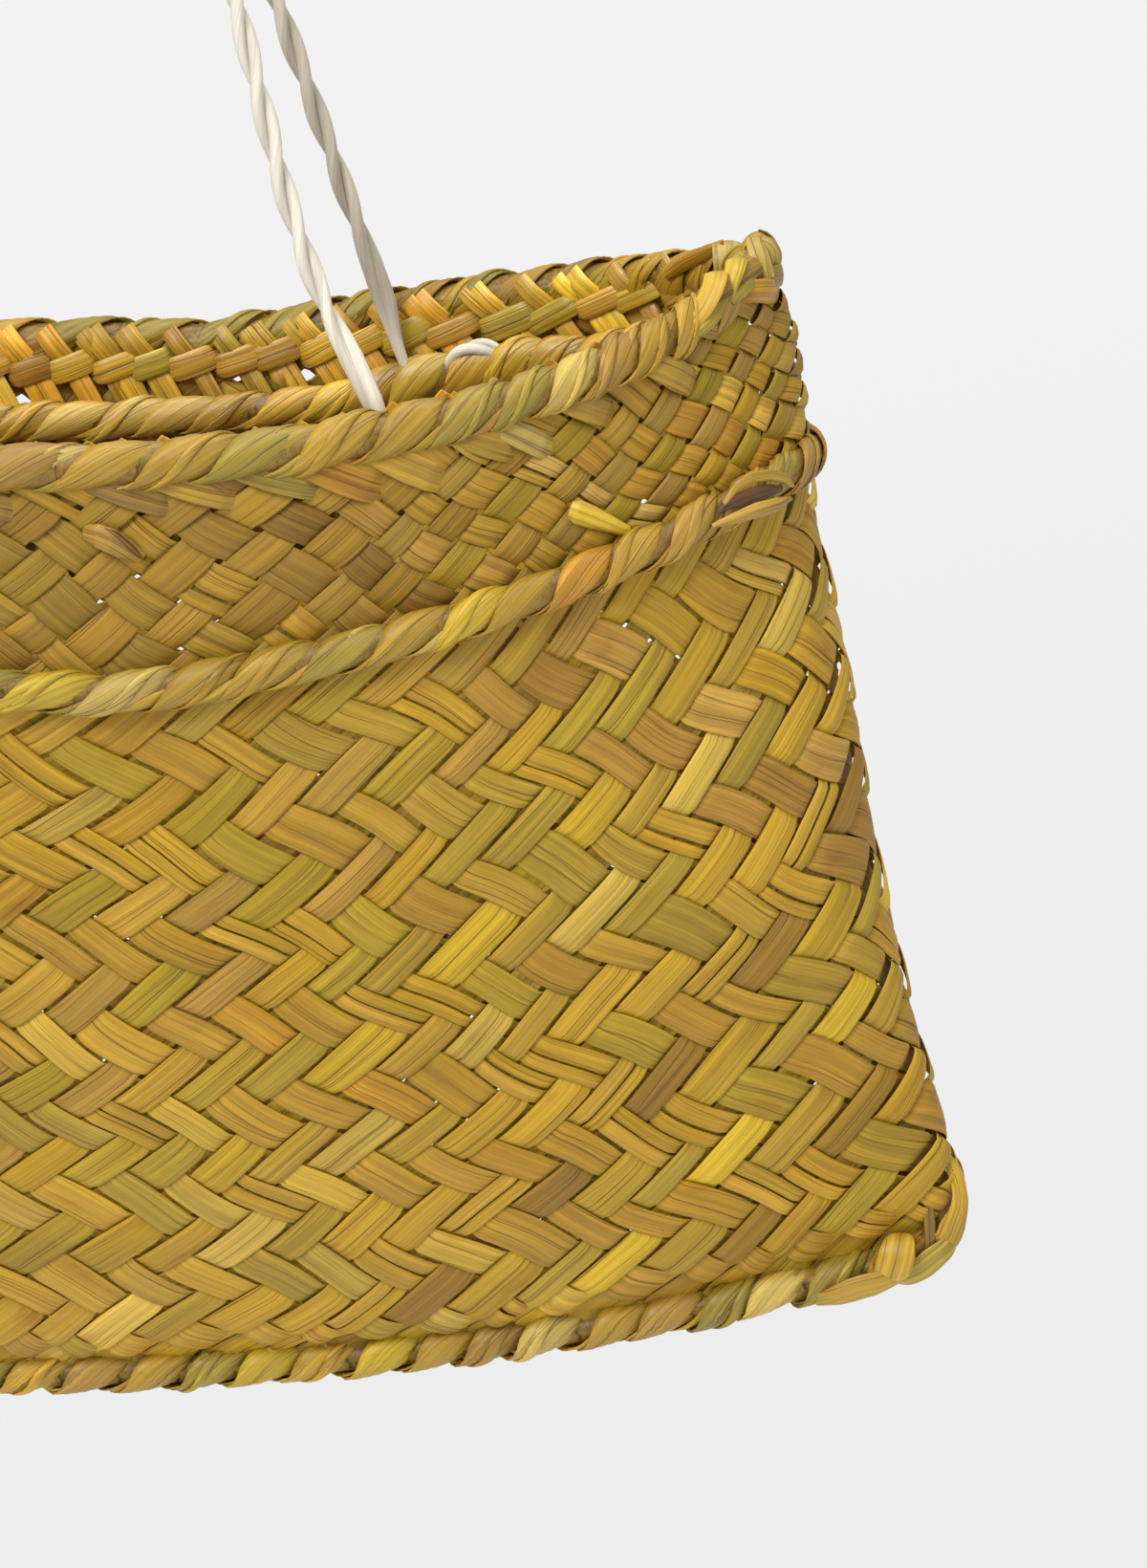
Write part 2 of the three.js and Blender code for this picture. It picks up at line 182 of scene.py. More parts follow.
view_line = Vector((0, math.cos(CAMERA_PITCH), -math.sin(CAMERA_PITCH)))
level = Vector((1, 0, 0))
upward = level.cross(view_line)
camera_right = math.cos(CAMERA_ROLL) * level - math.sin(CAMERA_ROLL) * upward
camera_up = math.sin(CAMERA_ROLL) * level + math.cos(CAMERA_ROLL) * upward
turned = Matrix((camera_right, camera_up, -view_line)).transposed()
camera.matrix_world = Matrix.Translation(AIM - CAMERA_DISTANCE * view_line) @ turned.to_4x4()
bpy.context.scene.camera = camera
bpy.context.scene.view_settings.view_transform = "Standard"
print("camera at", [round(x, 3) for x in camera.location], "lens", round(camera_data.lens, 1))

# %% [markdown]
# ## Building meshes from tubes
# A leaf strip, a strand of a plait and one ply of a cord are all the same kind of thing: a closed tube
# whose section travels along a line. So one helper turns a grid of points into faces. Each point also
# carries two attributes for the materials: "leaf" says where it is across and along its strip, in
# centimetres, and which strip it is, and "tint" is the strip's own colour there.

# %% Tube helper
CM_PER_M = 100
pieces = {}


def tube_faces(ring_count, side_count):
    """Quads for a tube's two flat ends, which have a ring of points of their own, and for its sides."""
    ring = np.arange(1, ring_count - 2)[:, None] * side_count
    side = np.arange(side_count)[None, :]
    following = (side + 1) % side_count
    above = ring + side_count
    sides = np.stack([ring + side, ring + following, above + following, above + side], -1)
    pair = np.arange(side_count // 2 - 1)
    first = np.stack([pair, side_count - 1 - pair, side_count - 2 - pair, pair + 1], -1)
    last = first[:, ::-1] + (ring_count - 1) * side_count
    return np.concatenate([first, last, sides.reshape(-1, 4)])


def add_tube(piece, rings, leaf, tint):
    """Adds one closed tube to a named piece. All three arrays are rings by points by values."""
    doubled_ends = [np.concatenate([values[:1], values, values[-1:]]) for values in (rings, leaf, tint)]
    rings, leaf, tint = doubled_ends
    corners = (rings - rings[0, 0]).reshape(-1, 3)[tube_faces(*rings.shape[:2])]
    turned = np.cross(corners[:, 1], corners[:, 2]) + np.cross(corners[:, 2], corners[:, 3])
    if np.einsum("ij,ij->", corners[:, 0], turned) < 0:
        rings, leaf, tint = rings[:, ::-1], leaf[:, ::-1], tint[:, ::-1]
    pieces.setdefault(piece, []).append((rings, leaf, tint))


def leaf_places(shape, across, along, number):
    """The values of the leaf attribute for a tube's points."""
    places = np.zeros(shape)
    for axis, values in enumerate((across, along, number)):
        places[..., axis] = values
    return places


def make_object(name, tubes, material):
    """One mesh object from closed tubes."""
    faces, rounded, start = [], [], 0
    for rings, _, _ in tubes:
        ring_count, side_count = rings.shape[:2]
        faces.append(tube_faces(ring_count, side_count) + start)
        rounded.append(np.arange(len(faces[-1])) >= 2 * (side_count // 2 - 1))
        start += ring_count * side_count
    faces = np.concatenate(faces).astype(np.int32)
    points, leaf, tint = (np.concatenate([part.reshape(-1, 3) for part in parts]) for parts in zip(*tubes))
    tint = np.concatenate([tint, np.ones((len(tint), 1))], axis=1)
    mesh = bpy.data.meshes.new(name)
    mesh.vertices.add(len(points))
    mesh.vertices.foreach_set("co", points.astype(np.float32).ravel())
    mesh.loops.add(faces.size)
    mesh.loops.foreach_set("vertex_index", faces.ravel())
    mesh.polygons.add(len(faces))
    mesh.polygons.foreach_set("loop_start", np.arange(0, faces.size, 4, dtype=np.int32))
    mesh.polygons.foreach_set("use_smooth", np.concatenate(rounded))
    mesh.update(calc_edges=True)
    for label, kind, field, values in (
            ("leaf", "FLOAT_VECTOR", "vector", leaf), ("tint", "FLOAT_COLOR", "color", tint)):
        data = mesh.attributes.new(label, kind, "POINT").data
        data.foreach_set(field, values.astype(np.float32).ravel())
    made = bpy.data.objects.new(name, mesh)
    bpy.context.collection.objects.link(made)
    mesh.materials.append(material)
    return made


def finish_piece(name, body, slot_name, material, *nodes):
    """Makes a collected piece, lets it ride on a body if one is given, and stand for its CAD nodes."""
    made = make_object(name, pieces.pop(name), material)
    if body:
        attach(made, body)
    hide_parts(*nodes)
    print(f"{name}: {len(made.data.polygons)} faces")
    return made


# %% [markdown]
# ## Smooth lines and slow waves
# A cord's line is a smooth curve through the CAD's own route points, measured out evenly along its
# length. The wave helper gives a random value that changes slowly, which is used for widths, tilts and
# colours, so that no two strips are alike and the script still gives the same bag each time.

# %% Line helpers
CURVE_STEPS = 24


def running_length(points):
    """The length along a line up to each of its points."""
    return np.concatenate([[0], np.cumsum(np.linalg.norm(np.diff(points, axis=0), axis=1))])


def smooth_line(points, spacing):
    """A smooth curve through points, as evenly spaced points."""
    points = np.asarray(points, float)
    ends = [2 * points[0] - points[1], *points, 2 * points[-1] - points[-2]]
    dense = []
    for before, start, end, after in zip(ends, ends[1:], ends[2:], ends[3:]):
        hops = ((before, start), (start, end), (end, after))
        knots = np.cumsum([0] + [np.linalg.norm(b - a) ** 0.5 for a, b in hops])
        time = np.linspace(knots[1], knots[2], CURVE_STEPS, endpoint=False)[:, None]
        blend = lambda a, b, low, high: ((high - time) * a + (time - low) * b) / (high - low)
        one = blend(before, start, knots[0], knots[1])
        two = blend(start, end, knots[1], knots[2])
        three = blend(end, after, knots[2], knots[3])
        early, late = blend(one, two, knots[0], knots[2]), blend(two, three, knots[1], knots[3])
        dense.append(blend(early, late, knots[1], knots[2]))
    dense = np.concatenate(dense + [points[-1:]])
    run = running_length(dense)
    even = np.linspace(0, run[-1], max(2, round(run[-1] / spacing)))
    return np.stack([np.interp(even, run, dense[:, axis]) for axis in range(3)], -1), run[-1]


def softened(closed, times, axis=0):
    """A closed line, or a stack of them, with each point blended with its neighbours a few times."""
    ring = np.moveaxis(closed, axis, 0)[:-1]
    for _ in range(times):
        ring = (np.roll(ring, 1, 0) + 2 * ring + np.roll(ring, -1, 0)) / 4
    return np.moveaxis(np.concatenate([ring, ring[:1]]), 0, axis)


def full_turn(count):
    """Angles in even steps once round."""
    return np.linspace(0, 2 * math.pi, count, endpoint=False)


def unit(vectors):
    return vectors / np.linalg.norm(vectors, axis=-1, keepdims=True)


def wander(dice, place, step):
    """A random wave between -1 and 1 along place, with a new random height every step."""
    count = place / step
    low = math.floor(count.min())
    heights = dice.uniform(-1, 1, math.ceil(count.max()) - low + 3)
    index = np.floor(count).astype(int) - low
    part = count - np.floor(count)
    part = part * part * (3 - 2 * part)
    return heights[index] * (1 - part) + heights[index + 1] * part


# %% [markdown]
# ## Leaf and cord materials
# Dried flax leaf has fine fibres along its length, a few darker creases, slow changes of colour and a
# soft satin sheen. The shader draws these from the "leaf" attribute, so that fibres follow each strip
# round every bend. The fibre noise is 75 times as long along the strip as across it. A crease is the
# place across the strip that a slow one-dimensional noise picks, which makes its line drift gently.
# The walls are dull, the plaits are glossier, and the dry leaves inside have the strongest ribs.

# %% Materials
class Nodes:
    """A little help to wire up a material."""

    def __init__(self, name):
        self.material = bpy.data.materials.new(name)
        self.material.use_nodes = True
        self.tree = self.material.node_tree
        self.shader = self.tree.nodes["Principled BSDF"]

    def add(self, kind, inputs=None, **settings):
        node = self.tree.nodes.new(kind)
        for key, value in settings.items():
            setattr(node, key, value)
        for key, value in (inputs or {}).items():
            if isinstance(value, bpy.types.NodeSocket):
                self.tree.links.new(value, node.inputs[key])
            else:
                node.inputs[key].default_value = value
        return node

    def math(self, operation, first, second=0.0, third=0.0):
        node = self.add("ShaderNodeMath", {0: first, 1: second, 2: third}, operation=operation)
        return node.outputs[0]

    def ramp(self, value, low, high, to_low=0.0, to_high=1.0):
        inputs = {"Value": value, "From Min": low, "From Max": high, "To Min": to_low, "To Max": to_high}
        return self.add("ShaderNodeMapRange", inputs, interpolation_type="SMOOTHSTEP").outputs["Result"]

    def mix(self, amount, first, second, blend="MIX"):
        node = self.add("ShaderNodeMix", {0: amount, 6: first, 7: second}, data_type="RGBA", blend_type=blend)
        return node.outputs[2]

    def noise(self, vector, detail=2.0, rough=0.5):
        inputs = {"Vector": vector, "Scale": 1.0, "Detail": detail, "Roughness": rough}
        return self.add("ShaderNodeTexNoise", inputs).outputs["Fac"]

    def times(self, colour, factor):
        return self.mix(1.0, colour, factor, "MULTIPLY")

    def tinted(self, bright):
        """The strip's own colour, made darker or brighter."""
        tint = self.add("ShaderNodeAttribute", attribute_name="tint").outputs["Color"]
        grey = self.add("ShaderNodeCombineColor", {"Red": bright, "Green": bright, "Blue": bright})
        return self.times(tint, grey.outputs["Color"])

    def drive(self, name, value):
        self.tree.links.new(value, self.shader.inputs[name])

    def bump(self, height, strength, distance):
        inputs = {"Strength": strength, "Distance": distance, "Height": height}
        self.drive("Normal", self.add("ShaderNodeBump", inputs).outputs["Normal"])

    def settle(self, values):
        """Sets what is the same all over the surface on the shader's own sockets."""
        for name, value in values.items():
            self.shader.inputs[name].default_value = value


def strip_place(nodes):
    """The across, along and strip-number outputs of the leaf attribute."""
    attribute = nodes.add("ShaderNodeAttribute", attribute_name="leaf")
    parts = nodes.add("ShaderNodeSeparateXYZ", {"Vector": attribute.outputs["Vector"]})
    return parts.outputs


def grain(nodes, place, across, along, shift=0.0, detail=2.0, rough=0.5):
    """A noise that is fine across the strip and long along it."""
    across_line, along_line, number = place
    inputs = {
        "X": nodes.math("MULTIPLY", across_line, across),
        "Y": nodes.math("MULTIPLY", along_line, along),
        "Z": nodes.math("MULTIPLY_ADD", number, 7.3, shift),
    }
    return nodes.noise(nodes.add("ShaderNodeCombineXYZ", inputs).outputs["Vector"], detail, rough)


def crease(nodes, place, shift, half_width):
    """1 on a drifting lengthwise line and 0 elsewhere."""
    across_line, along_line, number = place
    drift = nodes.math("MULTIPLY_ADD", along_line, 0.03, nodes.math("MULTIPLY_ADD", number, 3.7, shift))
    wave = nodes.add("ShaderNodeTexNoise", {"W": drift, "Scale": 1.0, "Detail": 1.0}, noise_dimensions="1D")
    line = nodes.math("MULTIPLY_ADD", nodes.math("SUBTRACT", wave.outputs["Fac"], 0.5), 1.9, 0.0)
    away = nodes.math("ABSOLUTE", nodes.math("SUBTRACT", across_line, line))
    return nodes.ramp(away, 0.0, half_width, 1.0, 0.0)


BROWN_PATCH, DARK_CREASE = (0.78, 0.58, 0.5, 1), (0.40, 0.30, 0.26, 1)
CREASE_LINES = [(0.0, 0.022), (51.0, 0.015), (87.0, 0.010)]
LEAF_BUMP, CORD_BUMP = 0.16 * MM, 0.14 * MM


def leaf_material(name, rough, dark_crease, specular, ribs):
    """Dried flax leaf: its ribs are the contrast between the fine lines along a strip."""
    nodes = Nodes(name)
    place = strip_place(nodes)
    fibre = grain(nodes, place, 30, 0.4, detail=3.0, rough=0.7)
    streak = grain(nodes, place, 9, 0.12, 3.0)
    patch = grain(nodes, place, 1.6, 0.5, 9.0, 3.0, 0.6)
    creases, *others = [crease(nodes, place, shift, half_width) for shift, half_width in CREASE_LINES]
    for other in others:
        creases = nodes.math("MAXIMUM", creases, other)
    strength = nodes.ramp(grain(nodes, place, 0.5, 0.3, 21.0), 0.3, 0.58)
    creases = nodes.math("MULTIPLY", creases, strength)
    bright = nodes.ramp(fibre, 0.25, 0.75, 1 - 0.2 * ribs, 1 + 0.16 * ribs)
    bright = nodes.math("MULTIPLY", bright, nodes.ramp(streak, 0.3, 0.7, 1 - 0.16 * ribs, 1 + 0.12 * ribs))
    colour = nodes.tinted(bright)
    patched = nodes.ramp(patch, 0.56, 0.78, 0.0, 0.75)
    colour = nodes.mix(patched, colour, nodes.times(colour, BROWN_PATCH))
    creased = nodes.math("MULTIPLY", creases, dark_crease)
    nodes.drive("Base Color", nodes.mix(creased, colour, nodes.times(colour, DARK_CREASE)))
    nodes.drive("Roughness", nodes.ramp(fibre, 0.3, 0.7, rough - 0.07, rough + 0.12))
    height = nodes.math("MULTIPLY_ADD", creases, -1.6, nodes.math("MULTIPLY_ADD", streak, 0.9, fibre))
    nodes.bump(height, 0.55, LEAF_BUMP)
    nodes.settle({"Specular IOR Level": specular})
    return nodes.material


def cord_material(name):
    """Twisted plant fibre: finer lines than a leaf's, no creases, and a soft sheen."""
    nodes = Nodes(name)
    place = strip_place(nodes)
    fibre = grain(nodes, place, 34, 0.9, detail=3.0, rough=0.6)
    band = grain(nodes, place, 7, 0.25, 4.0)
    bright, banded = nodes.ramp(fibre, 0.25, 0.75, 0.84, 1.08), nodes.ramp(band, 0.3, 0.7, 0.86, 1.06)
    nodes.drive("Base Color", nodes.tinted(nodes.math("MULTIPLY", bright, banded)))
    nodes.bump(nodes.math("MULTIPLY_ADD", band, 1.2, fibre), 0.5, CORD_BUMP)
    nodes.settle({"Roughness": 0.7, "Specular IOR Level": 0.3, "Sheen Weight": 0.25, "Sheen Roughness": 0.4})
    return nodes.material


twill_leaf = leaf_material("twill_leaf", 0.5, 0.85, 0.28, 1.1)
check_leaf = leaf_material("check_leaf", 0.5, 0.85, 0.28, 1.1)
plait_leaf = leaf_material("plait_leaf", 0.40, 0.8, 0.5, 1.35)
inner_leaf = leaf_material("inner_leaf", 0.34, 1.0, 0.7, 1.7)
cream_cord = cord_material("cream_cord")

# %% [markdown]
# ## The cord handles
# Each handle is two plies of cream plant fibre, twisted the way that runs up to the right seen from
# any side. The bag's weight holds both cords taut over a peg above the picture. The cord is one smooth
# line from tail to tail, and is cut into pieces only where the CAD has its hinges, so that the twist
# carries on through the cuts. Near its foot a cord is less tightly twisted, and broader.

# %% Cord route
CORD_RADIUS = CORD_DIAMETER / 2
HANDLE_HALF_ROUTE = [
    (56.5, 0), (53.8, 10), (51.0, 20), (45.5, 40), (40.0, 60), (34.5, 80), (29.0, 100), (23.5, 120),
    (18.0, 140), (12.5, 160), (10.6, 166.7), (9.4, 169.6), (7.6, 171.8), (5.2, 173.6), (2.7, 174.6),
]
TAIL_BEND = (59.2, 0.6)
TAIL_ROUTE = [
    (61.2, -4.8), (64.5, -6.2), (68.5, -5.4), (71.8, -1.6), (75, -0.8), (78.5, -2.0), (82, -5.4),
    (90, -6.4)]
TAIL_SHOWN_X = 74 * MM
CORD_OFFSET = -(RIM_DEPTH / 2 + GAP + CORD_RADIUS)
FRONT_BOW = [
    (0, 1.7), (9, 3.0), (20, 4.7), (30, 5.2), (40, 5.1), (60, 3.8), (80, 2.2), (100, 0.9), (120, 0)]
FOOT_X = HANDLE_HALF_ROUTE[0][0] * MM
TOP_RISE = HANDLE_HALF_ROUTE[-1][1] * MM


def station_of(x):
    return math.asin(x / MOUTH_HALF_WIDTH) / QUARTER


def across_of(x):
    return math.sin(QUARTER * station_of(x))


foot_height = float(rim_top(across_of(FOOT_X)))
foot_depth = 37.891 * MM
apex_height = PEG_RISE + CORD_RADIUS
lean = math.atan2(foot_depth - HANDLE_SPACING / 2, apex_height - foot_height)
stretch = (apex_height - foot_height) / math.cos(lean) / TOP_RISE


def handle_point(x, rise, side):
    """A point of a handle's leaning plane. Side is -1 at the front and 1 at the back."""
    up = rise * stretch
    depth, height = foot_depth - up * math.sin(lean), foot_height + up * math.cos(lean)
    return np.array([x, side * depth, height - PEG_RISE])


def tail_point(x, rise, side):
    """A point of a tail, which lies on the inner plait."""
    height = float(inner_line(across_of(x))) + INNER_HEIGHT / 2 + GAP + CORD_RADIUS + rise
    point = wall_point(station_of(x), height, CORD_OFFSET)
    return np.array([x, -side * point[1], height - PEG_RISE])


slope = (HANDLE_HALF_ROUTE[1][0] * MM - FOOT_X) / (HANDLE_HALF_ROUTE[1][1] * MM)
hinge_x = FOOT_X + slope * HINGE_RISE


def route_point(x, rise, side):
    """A point of a handle's route. The front cord is the slacker one and bows inwards above its foot."""
    bow = float(np.interp(rise / MM, *np.array(FRONT_BOW).T)) * MM if side < 0 else 0
    return handle_point(x - bow, rise, side)


def cord_half(side):
    """The route of a cord's right half, from its tail's end up to the peg."""
    tail = [tail_point(x * MM, rise * MM, side) for x, rise in [TAIL_BEND, *TAIL_ROUTE]][::-1]
    stub = [route_point(FOOT_X + slope * rise, rise, side) for rise in (0, HINGE_RISE / 2)]
    hinge = route_point(hinge_x, HINGE_RISE + GAP / 2, side)
    rising = [route_point(x * MM, rise * MM, side) for x, rise in HANDLE_HALF_ROUTE if rise * MM > HINGE_RISE]
    return tail, stub, hinge, rising


BEND_BELOW, BEND_ABOVE = 5 * MM, 11 * MM


def bend_at_hinge(piece, side):
    """Bakes a cord's piece into its mesh. The points just below and above the hinge are worked out, but not
    used.
    """
    low, high = (tuple(handle_point(0, HINGE_RISE + rise, side)) for rise in (-BEND_BELOW, BEND_ABOVE))
    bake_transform(piece)
    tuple(low)
    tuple(high)


# %% [markdown]
# The plies: two flattened round tubes that wind round the cord's line. The frame they turn in is
# carried along the line without twisting, so that only the winding itself turns them.

# %% Cord plies
PLY_SIDES = 14
PLY_APART, PLY_HALF_WIDTH, PLY_HALF_THICKNESS, LOOSE_SPREAD = 0.48, 0.56, 0.52, 0.1
CORD_SPACING = 0.9 * MM
LOOSE_LENGTH, TAIL_SLIMMING_LENGTH, SHOWN_LENGTH = 17 * MM, 8 * MM, 4.5 * MM
LOOSE_SLOWS, TAIL_SLIMS, SHOWN_KEEPS = 0.6, 0.35, 0.9
CREAM = np.array([0.80, 0.74, 0.62])
TAN = np.array([0.55, 0.46, 0.32])


def carried_frame(line):
    """Two directions square to a line, carried along it without twist."""
    along = unit(np.gradient(line, axis=0))
    first = np.zeros_like(line)
    first[0] = unit(np.cross(along[0], [0, 1, 0]))
    for index in range(1, len(line)):
        carried = first[index - 1] - np.dot(first[index - 1], along[index]) * along[index]
        first[index] = carried / np.linalg.norm(carried)
    return first, np.cross(along, first)


def cord_plies(line, turn, loose, slim):
    """The two plies round a line: turn is the winding angle, and loose plies lie flat together."""
    first, second = carried_frame(line)
    around = full_turn(PLY_SIDES)
    size, spread = slim * CORD_RADIUS, LOOSE_SPREAD * loose
    for ply in (0, 1):
        angle = turn + math.pi * ply
        out = np.cos(angle)[:, None] * first + np.sin(angle)[:, None] * second
        beside = np.cos(angle)[:, None] * second - np.sin(angle)[:, None] * first
        centre = line + out * (size * (PLY_APART - spread))[:, None]
        wide = (size * (PLY_HALF_WIDTH + spread))[:, None, None] * np.sin(around)[None, :, None]
        thick = (size * (PLY_HALF_THICKNESS + spread))[:, None, None] * np.cos(around)[None, :, None]
        yield ply, centre[:, None] + wide * beside[:, None] + thick * out[:, None], around


def make_cord(name, side, tint, number, pitch, phase):
    """One handle with its two tails. The phase is how far the plies have turned where the handle begins."""
    tail, stub, hinge, rising = cord_half(side)
    top = handle_point(0, TOP_RISE, side)
    right = [*tail, *stub, hinge, *rising]
    mirrored = [point * [-1, 1, 1] for point in right[::-1]]
    line, length = smooth_line([*right, top, *mirrored], CORD_SPACING)
    run = np.linspace(0, length, len(line))
    hinge_cut = int(np.argmin(np.linalg.norm(line - hinge, axis=1)))
    foot_run = run[int(np.argmin(np.linalg.norm(line - stub[0], axis=1)))]
    from_foot = np.minimum(np.abs(run - foot_run), np.abs(length - run - foot_run))
    loose = np.exp(-((from_foot / LOOSE_LENGTH) ** 4))
    rate = (1 - LOOSE_SLOWS * loose) / pitch
    turn = 2 * math.pi * np.cumsum(rate * np.gradient(run))
    turn = turn - turn[hinge_cut] + phase
    into_tail = np.clip((foot_run - np.minimum(run, length - run)) / TAIL_SLIMMING_LENGTH, 0, 1)
    shown = np.exp(-(((np.abs(line[:, 0]) - TAIL_SHOWN_X) / SHOWN_LENGTH) ** 4))
    slim = 1 - TAIL_SLIMS * into_tail * (1 - SHOWN_KEEPS * shown)
    parts = {
        f"{name}_right_cord_end": slice(0, hinge_cut + 1),
        f"{name}_handle": slice(hinge_cut, len(line) - hinge_cut),
        f"{name}_left_cord_end": slice(len(line) - hinge_cut - 1, len(line)),
    }
    dice = np.random.default_rng(number)
    for ply, rings, around in cord_plies(line, turn, loose, slim):
        across = np.sin(around / 2)[None, :] * 0.7
        leaf = leaf_places(rings.shape, across, run[:, None] * CM_PER_M, number + ply * 0.5)
        # Painted shade: the sides of the two plies that face each other, in the groove, are darkened and
        # mixed towards tan, less so where the cord is loose. The slow waves add random tone.
        groove = (0.5 - 0.5 * np.cos(around)[None, :, None]) * (1 - 0.6 * loose)[:, None, None]
        shade = 1 - 0.25 * groove + 0.06 * wander(dice, run, 0.02)[:, None, None]
        tan_shade_and_tone = np.clip(0.5 * groove + 0.25 * wander(dice, run, 0.03)[:, None, None], 0, 1)
        base = tint + (CREAM * 1.15 - tint) * into_tail[:, None, None]
        colours = shade * (base * (1 - 0.35 * tan_shade_and_tone) + TAN * 0.35 * tan_shade_and_tone)
        for piece, part in parts.items():
            add_tube(piece, rings[part], leaf[part], colours[part])
    for end in ("right", "left"):
        piece, node = f"{name}_{end}_cord_end", f"{name}_{end}_cord_tail"
        bend_at_hinge(finish_piece(piece, None, "cream_cord", cream_cord, node), side)
    handle = finish_piece(f"{name}_handle", None, "cream_cord", cream_cord, f"{name}_handle_cord")
    route = line[parts[f"{name}_handle"]]
    steps = np.linalg.norm(np.diff(route, axis=0), axis=1).sum()
    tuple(route[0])
    bend_at_hinge(handle, side)
    print(f"{name} handle is {steps * 1000:.0f} mm of cord")


make_cord("front", -1, CREAM * 1.1, 1, 31 * MM, 0.0)
make_cord("back", 1, CREAM * 0.6 + TAN * 0.4, 2, 33 * MM, 0.72)

# %% [markdown]
# ## Light, floor and background
# A large soft box above and to the left of the camera, one straight above the bag, a weak one from the
# right, and a pale floor that throws light back up under the bag. The floor and the world look almost
# white to the camera, as the seamless paper in the photograph does, whatever light falls on them.

# %% Light and floor
FLOOR_HEIGHT = -0.95
FLOOR_RADIUS = 9
BAG_MIDDLE = Vector((0, 0, -0.28))
SKY_STRENGTH = 0.54
PAPER_WHITE, PAPER_GREY = (0.887, 0.887, 0.887, 1), (0.825, 0.825, 0.830, 1)


def soft_box(name, place, width, height, power):
    data = bpy.data.lights.new(name, "AREA")
    data.shape = "RECTANGLE"
    data.size, data.size_y = width, height
    data.energy = power
    lamp = bpy.data.objects.new(name, data)
    bpy.context.collection.objects.link(lamp)
    lamp.location = place
    lamp.rotation_mode = "QUATERNION"
    lamp.rotation_quaternion = (BAG_MIDDLE - Vector(place)).to_track_quat("-Z", "Y")


def shown_as_paper(tree, lit, paper, output):
    """The camera sees the plain paper shader, and all other light meets the lit one."""
    ray = tree.nodes.new("ShaderNodeLightPath")
    either = tree.nodes.new("ShaderNodeMixShader")
    sources = (ray.outputs["Is Camera Ray"], lit.outputs[0], paper.outputs[0])
    for place, source in enumerate(sources):
        tree.links.new(source, either.inputs[place])
    tree.links.new(either.outputs[0], tree.nodes[output].inputs["Surface"])


soft_box("key_light", (-0.9, -1.5, 1.3), 1.1, 0.9, 36)
soft_box("fill_light", (1.6, -1.3, 0.3), 1.2, 1.2, 5)
soft_box("top_light", (0.1, 0.0, 1.6), 1.2, 1.0, 17)

world = bpy.data.worlds.new("studio")
bpy.context.scene.world = world
world.use_nodes = True
sky = world.node_tree.nodes["Background"]
sky.inputs["Color"].default_value = (1, 1, 1, 1)
sky.inputs["Strength"].default_value = SKY_STRENGTH
paper = world.node_tree.nodes.new("ShaderNodeBackground")
paper.inputs["Color"].default_value = PAPER_WHITE
shown_as_paper(world.node_tree, sky, paper, "World Output")

bpy.ops.mesh.primitive_circle_add(
    vertices=96, radius=FLOOR_RADIUS, fill_type="NGON", location=(0, 0, FLOOR_HEIGHT))
floor = bpy.context.object
floor.name = "studio_floor"
floor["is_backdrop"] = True
ground = Nodes("floor_paper")
where = ground.add("ShaderNodeNewGeometry").outputs["Position"]
where = ground.add("ShaderNodeSeparateXYZ", {"Vector": where}).outputs
far = ground.ramp(ground.math("MULTIPLY_ADD", where["X"], -0.7, where["Y"]), -0.2, 3.0)
glow = ground.add("ShaderNodeEmission", {"Color": ground.mix(far, PAPER_GREY, PAPER_WHITE)})
ground.settle({"Base Color": (0.9, 0.9, 0.9, 1), "Roughness": 0.9})
shown_as_paper(ground.tree, ground.shader, glow, "Material Output")
floor.data.materials.append(ground.material)

# %% [markdown]
# ## A map of the wall for the weave
# A weave is easiest to think of on a flat grid. Here u counts strips round the bag, 52 of them, and v
# counts rows up from the base. Strips that rise to the right keep u - v the same, and strips that fall
# to the right keep u + v the same. The map below says where each (u, v) lies on the curved wall. The
# strips are wider in the middle of the bag's top than at its folds, as the photograph shows.

# %% Wall map
STRIPS = 52
RIDGE_ROW = 16.0
BAND_ROWS, BAND_ROWS_MORE = 4.3, 1.5
TOP_SPREAD, SPREAD_DROP = 0.34, 120 * MM
MAP_FINE, MAP_ROWS_FINE = 20, 8
ROW_LOW, ROW_HIGH = -1.0, 24.0
SPREAD_POWER, SPREAD_WAVES = 1.3, (0.74, 0.13)
MAP_SOFTENINGS = 8
HALF_WAY_ROW = 80


def row_height(row, across):
    """The height of a row of the weave at a place across the bag."""
    low, mid, high = base_top(across), ridge_line(across), rim_top(across)
    band_rows = BAND_ROWS + BAND_ROWS_MORE * np.abs(across) ** 2
    below, above = low + (mid - low) * row / RIDGE_ROW, mid + (high - mid) * (row - RIDGE_ROW) / band_rows
    return np.where(row < RIDGE_ROW, below, above)


def spread_at(height):
    """How much wider than usual the strips are in the middle, at a height."""
    return TOP_SPREAD * float(np.clip(1 + height / SPREAD_DROP, 0, 1)) ** SPREAD_POWER


def crowded(u, spread):
    """A count of strips round the bag turned into a count of even steps."""
    turn = 4 * math.pi * u / STRIPS
    slow, quick = SPREAD_WAVES
    return u + spread * STRIPS / 4 / math.pi * (slow * np.sin(turn) + quick * np.sin(2 * turn))


def even_round(points):
    """Running length round a closed line, scaled so that once round is the number of strips."""
    run = running_length(points)
    return run / run[-1] * STRIPS


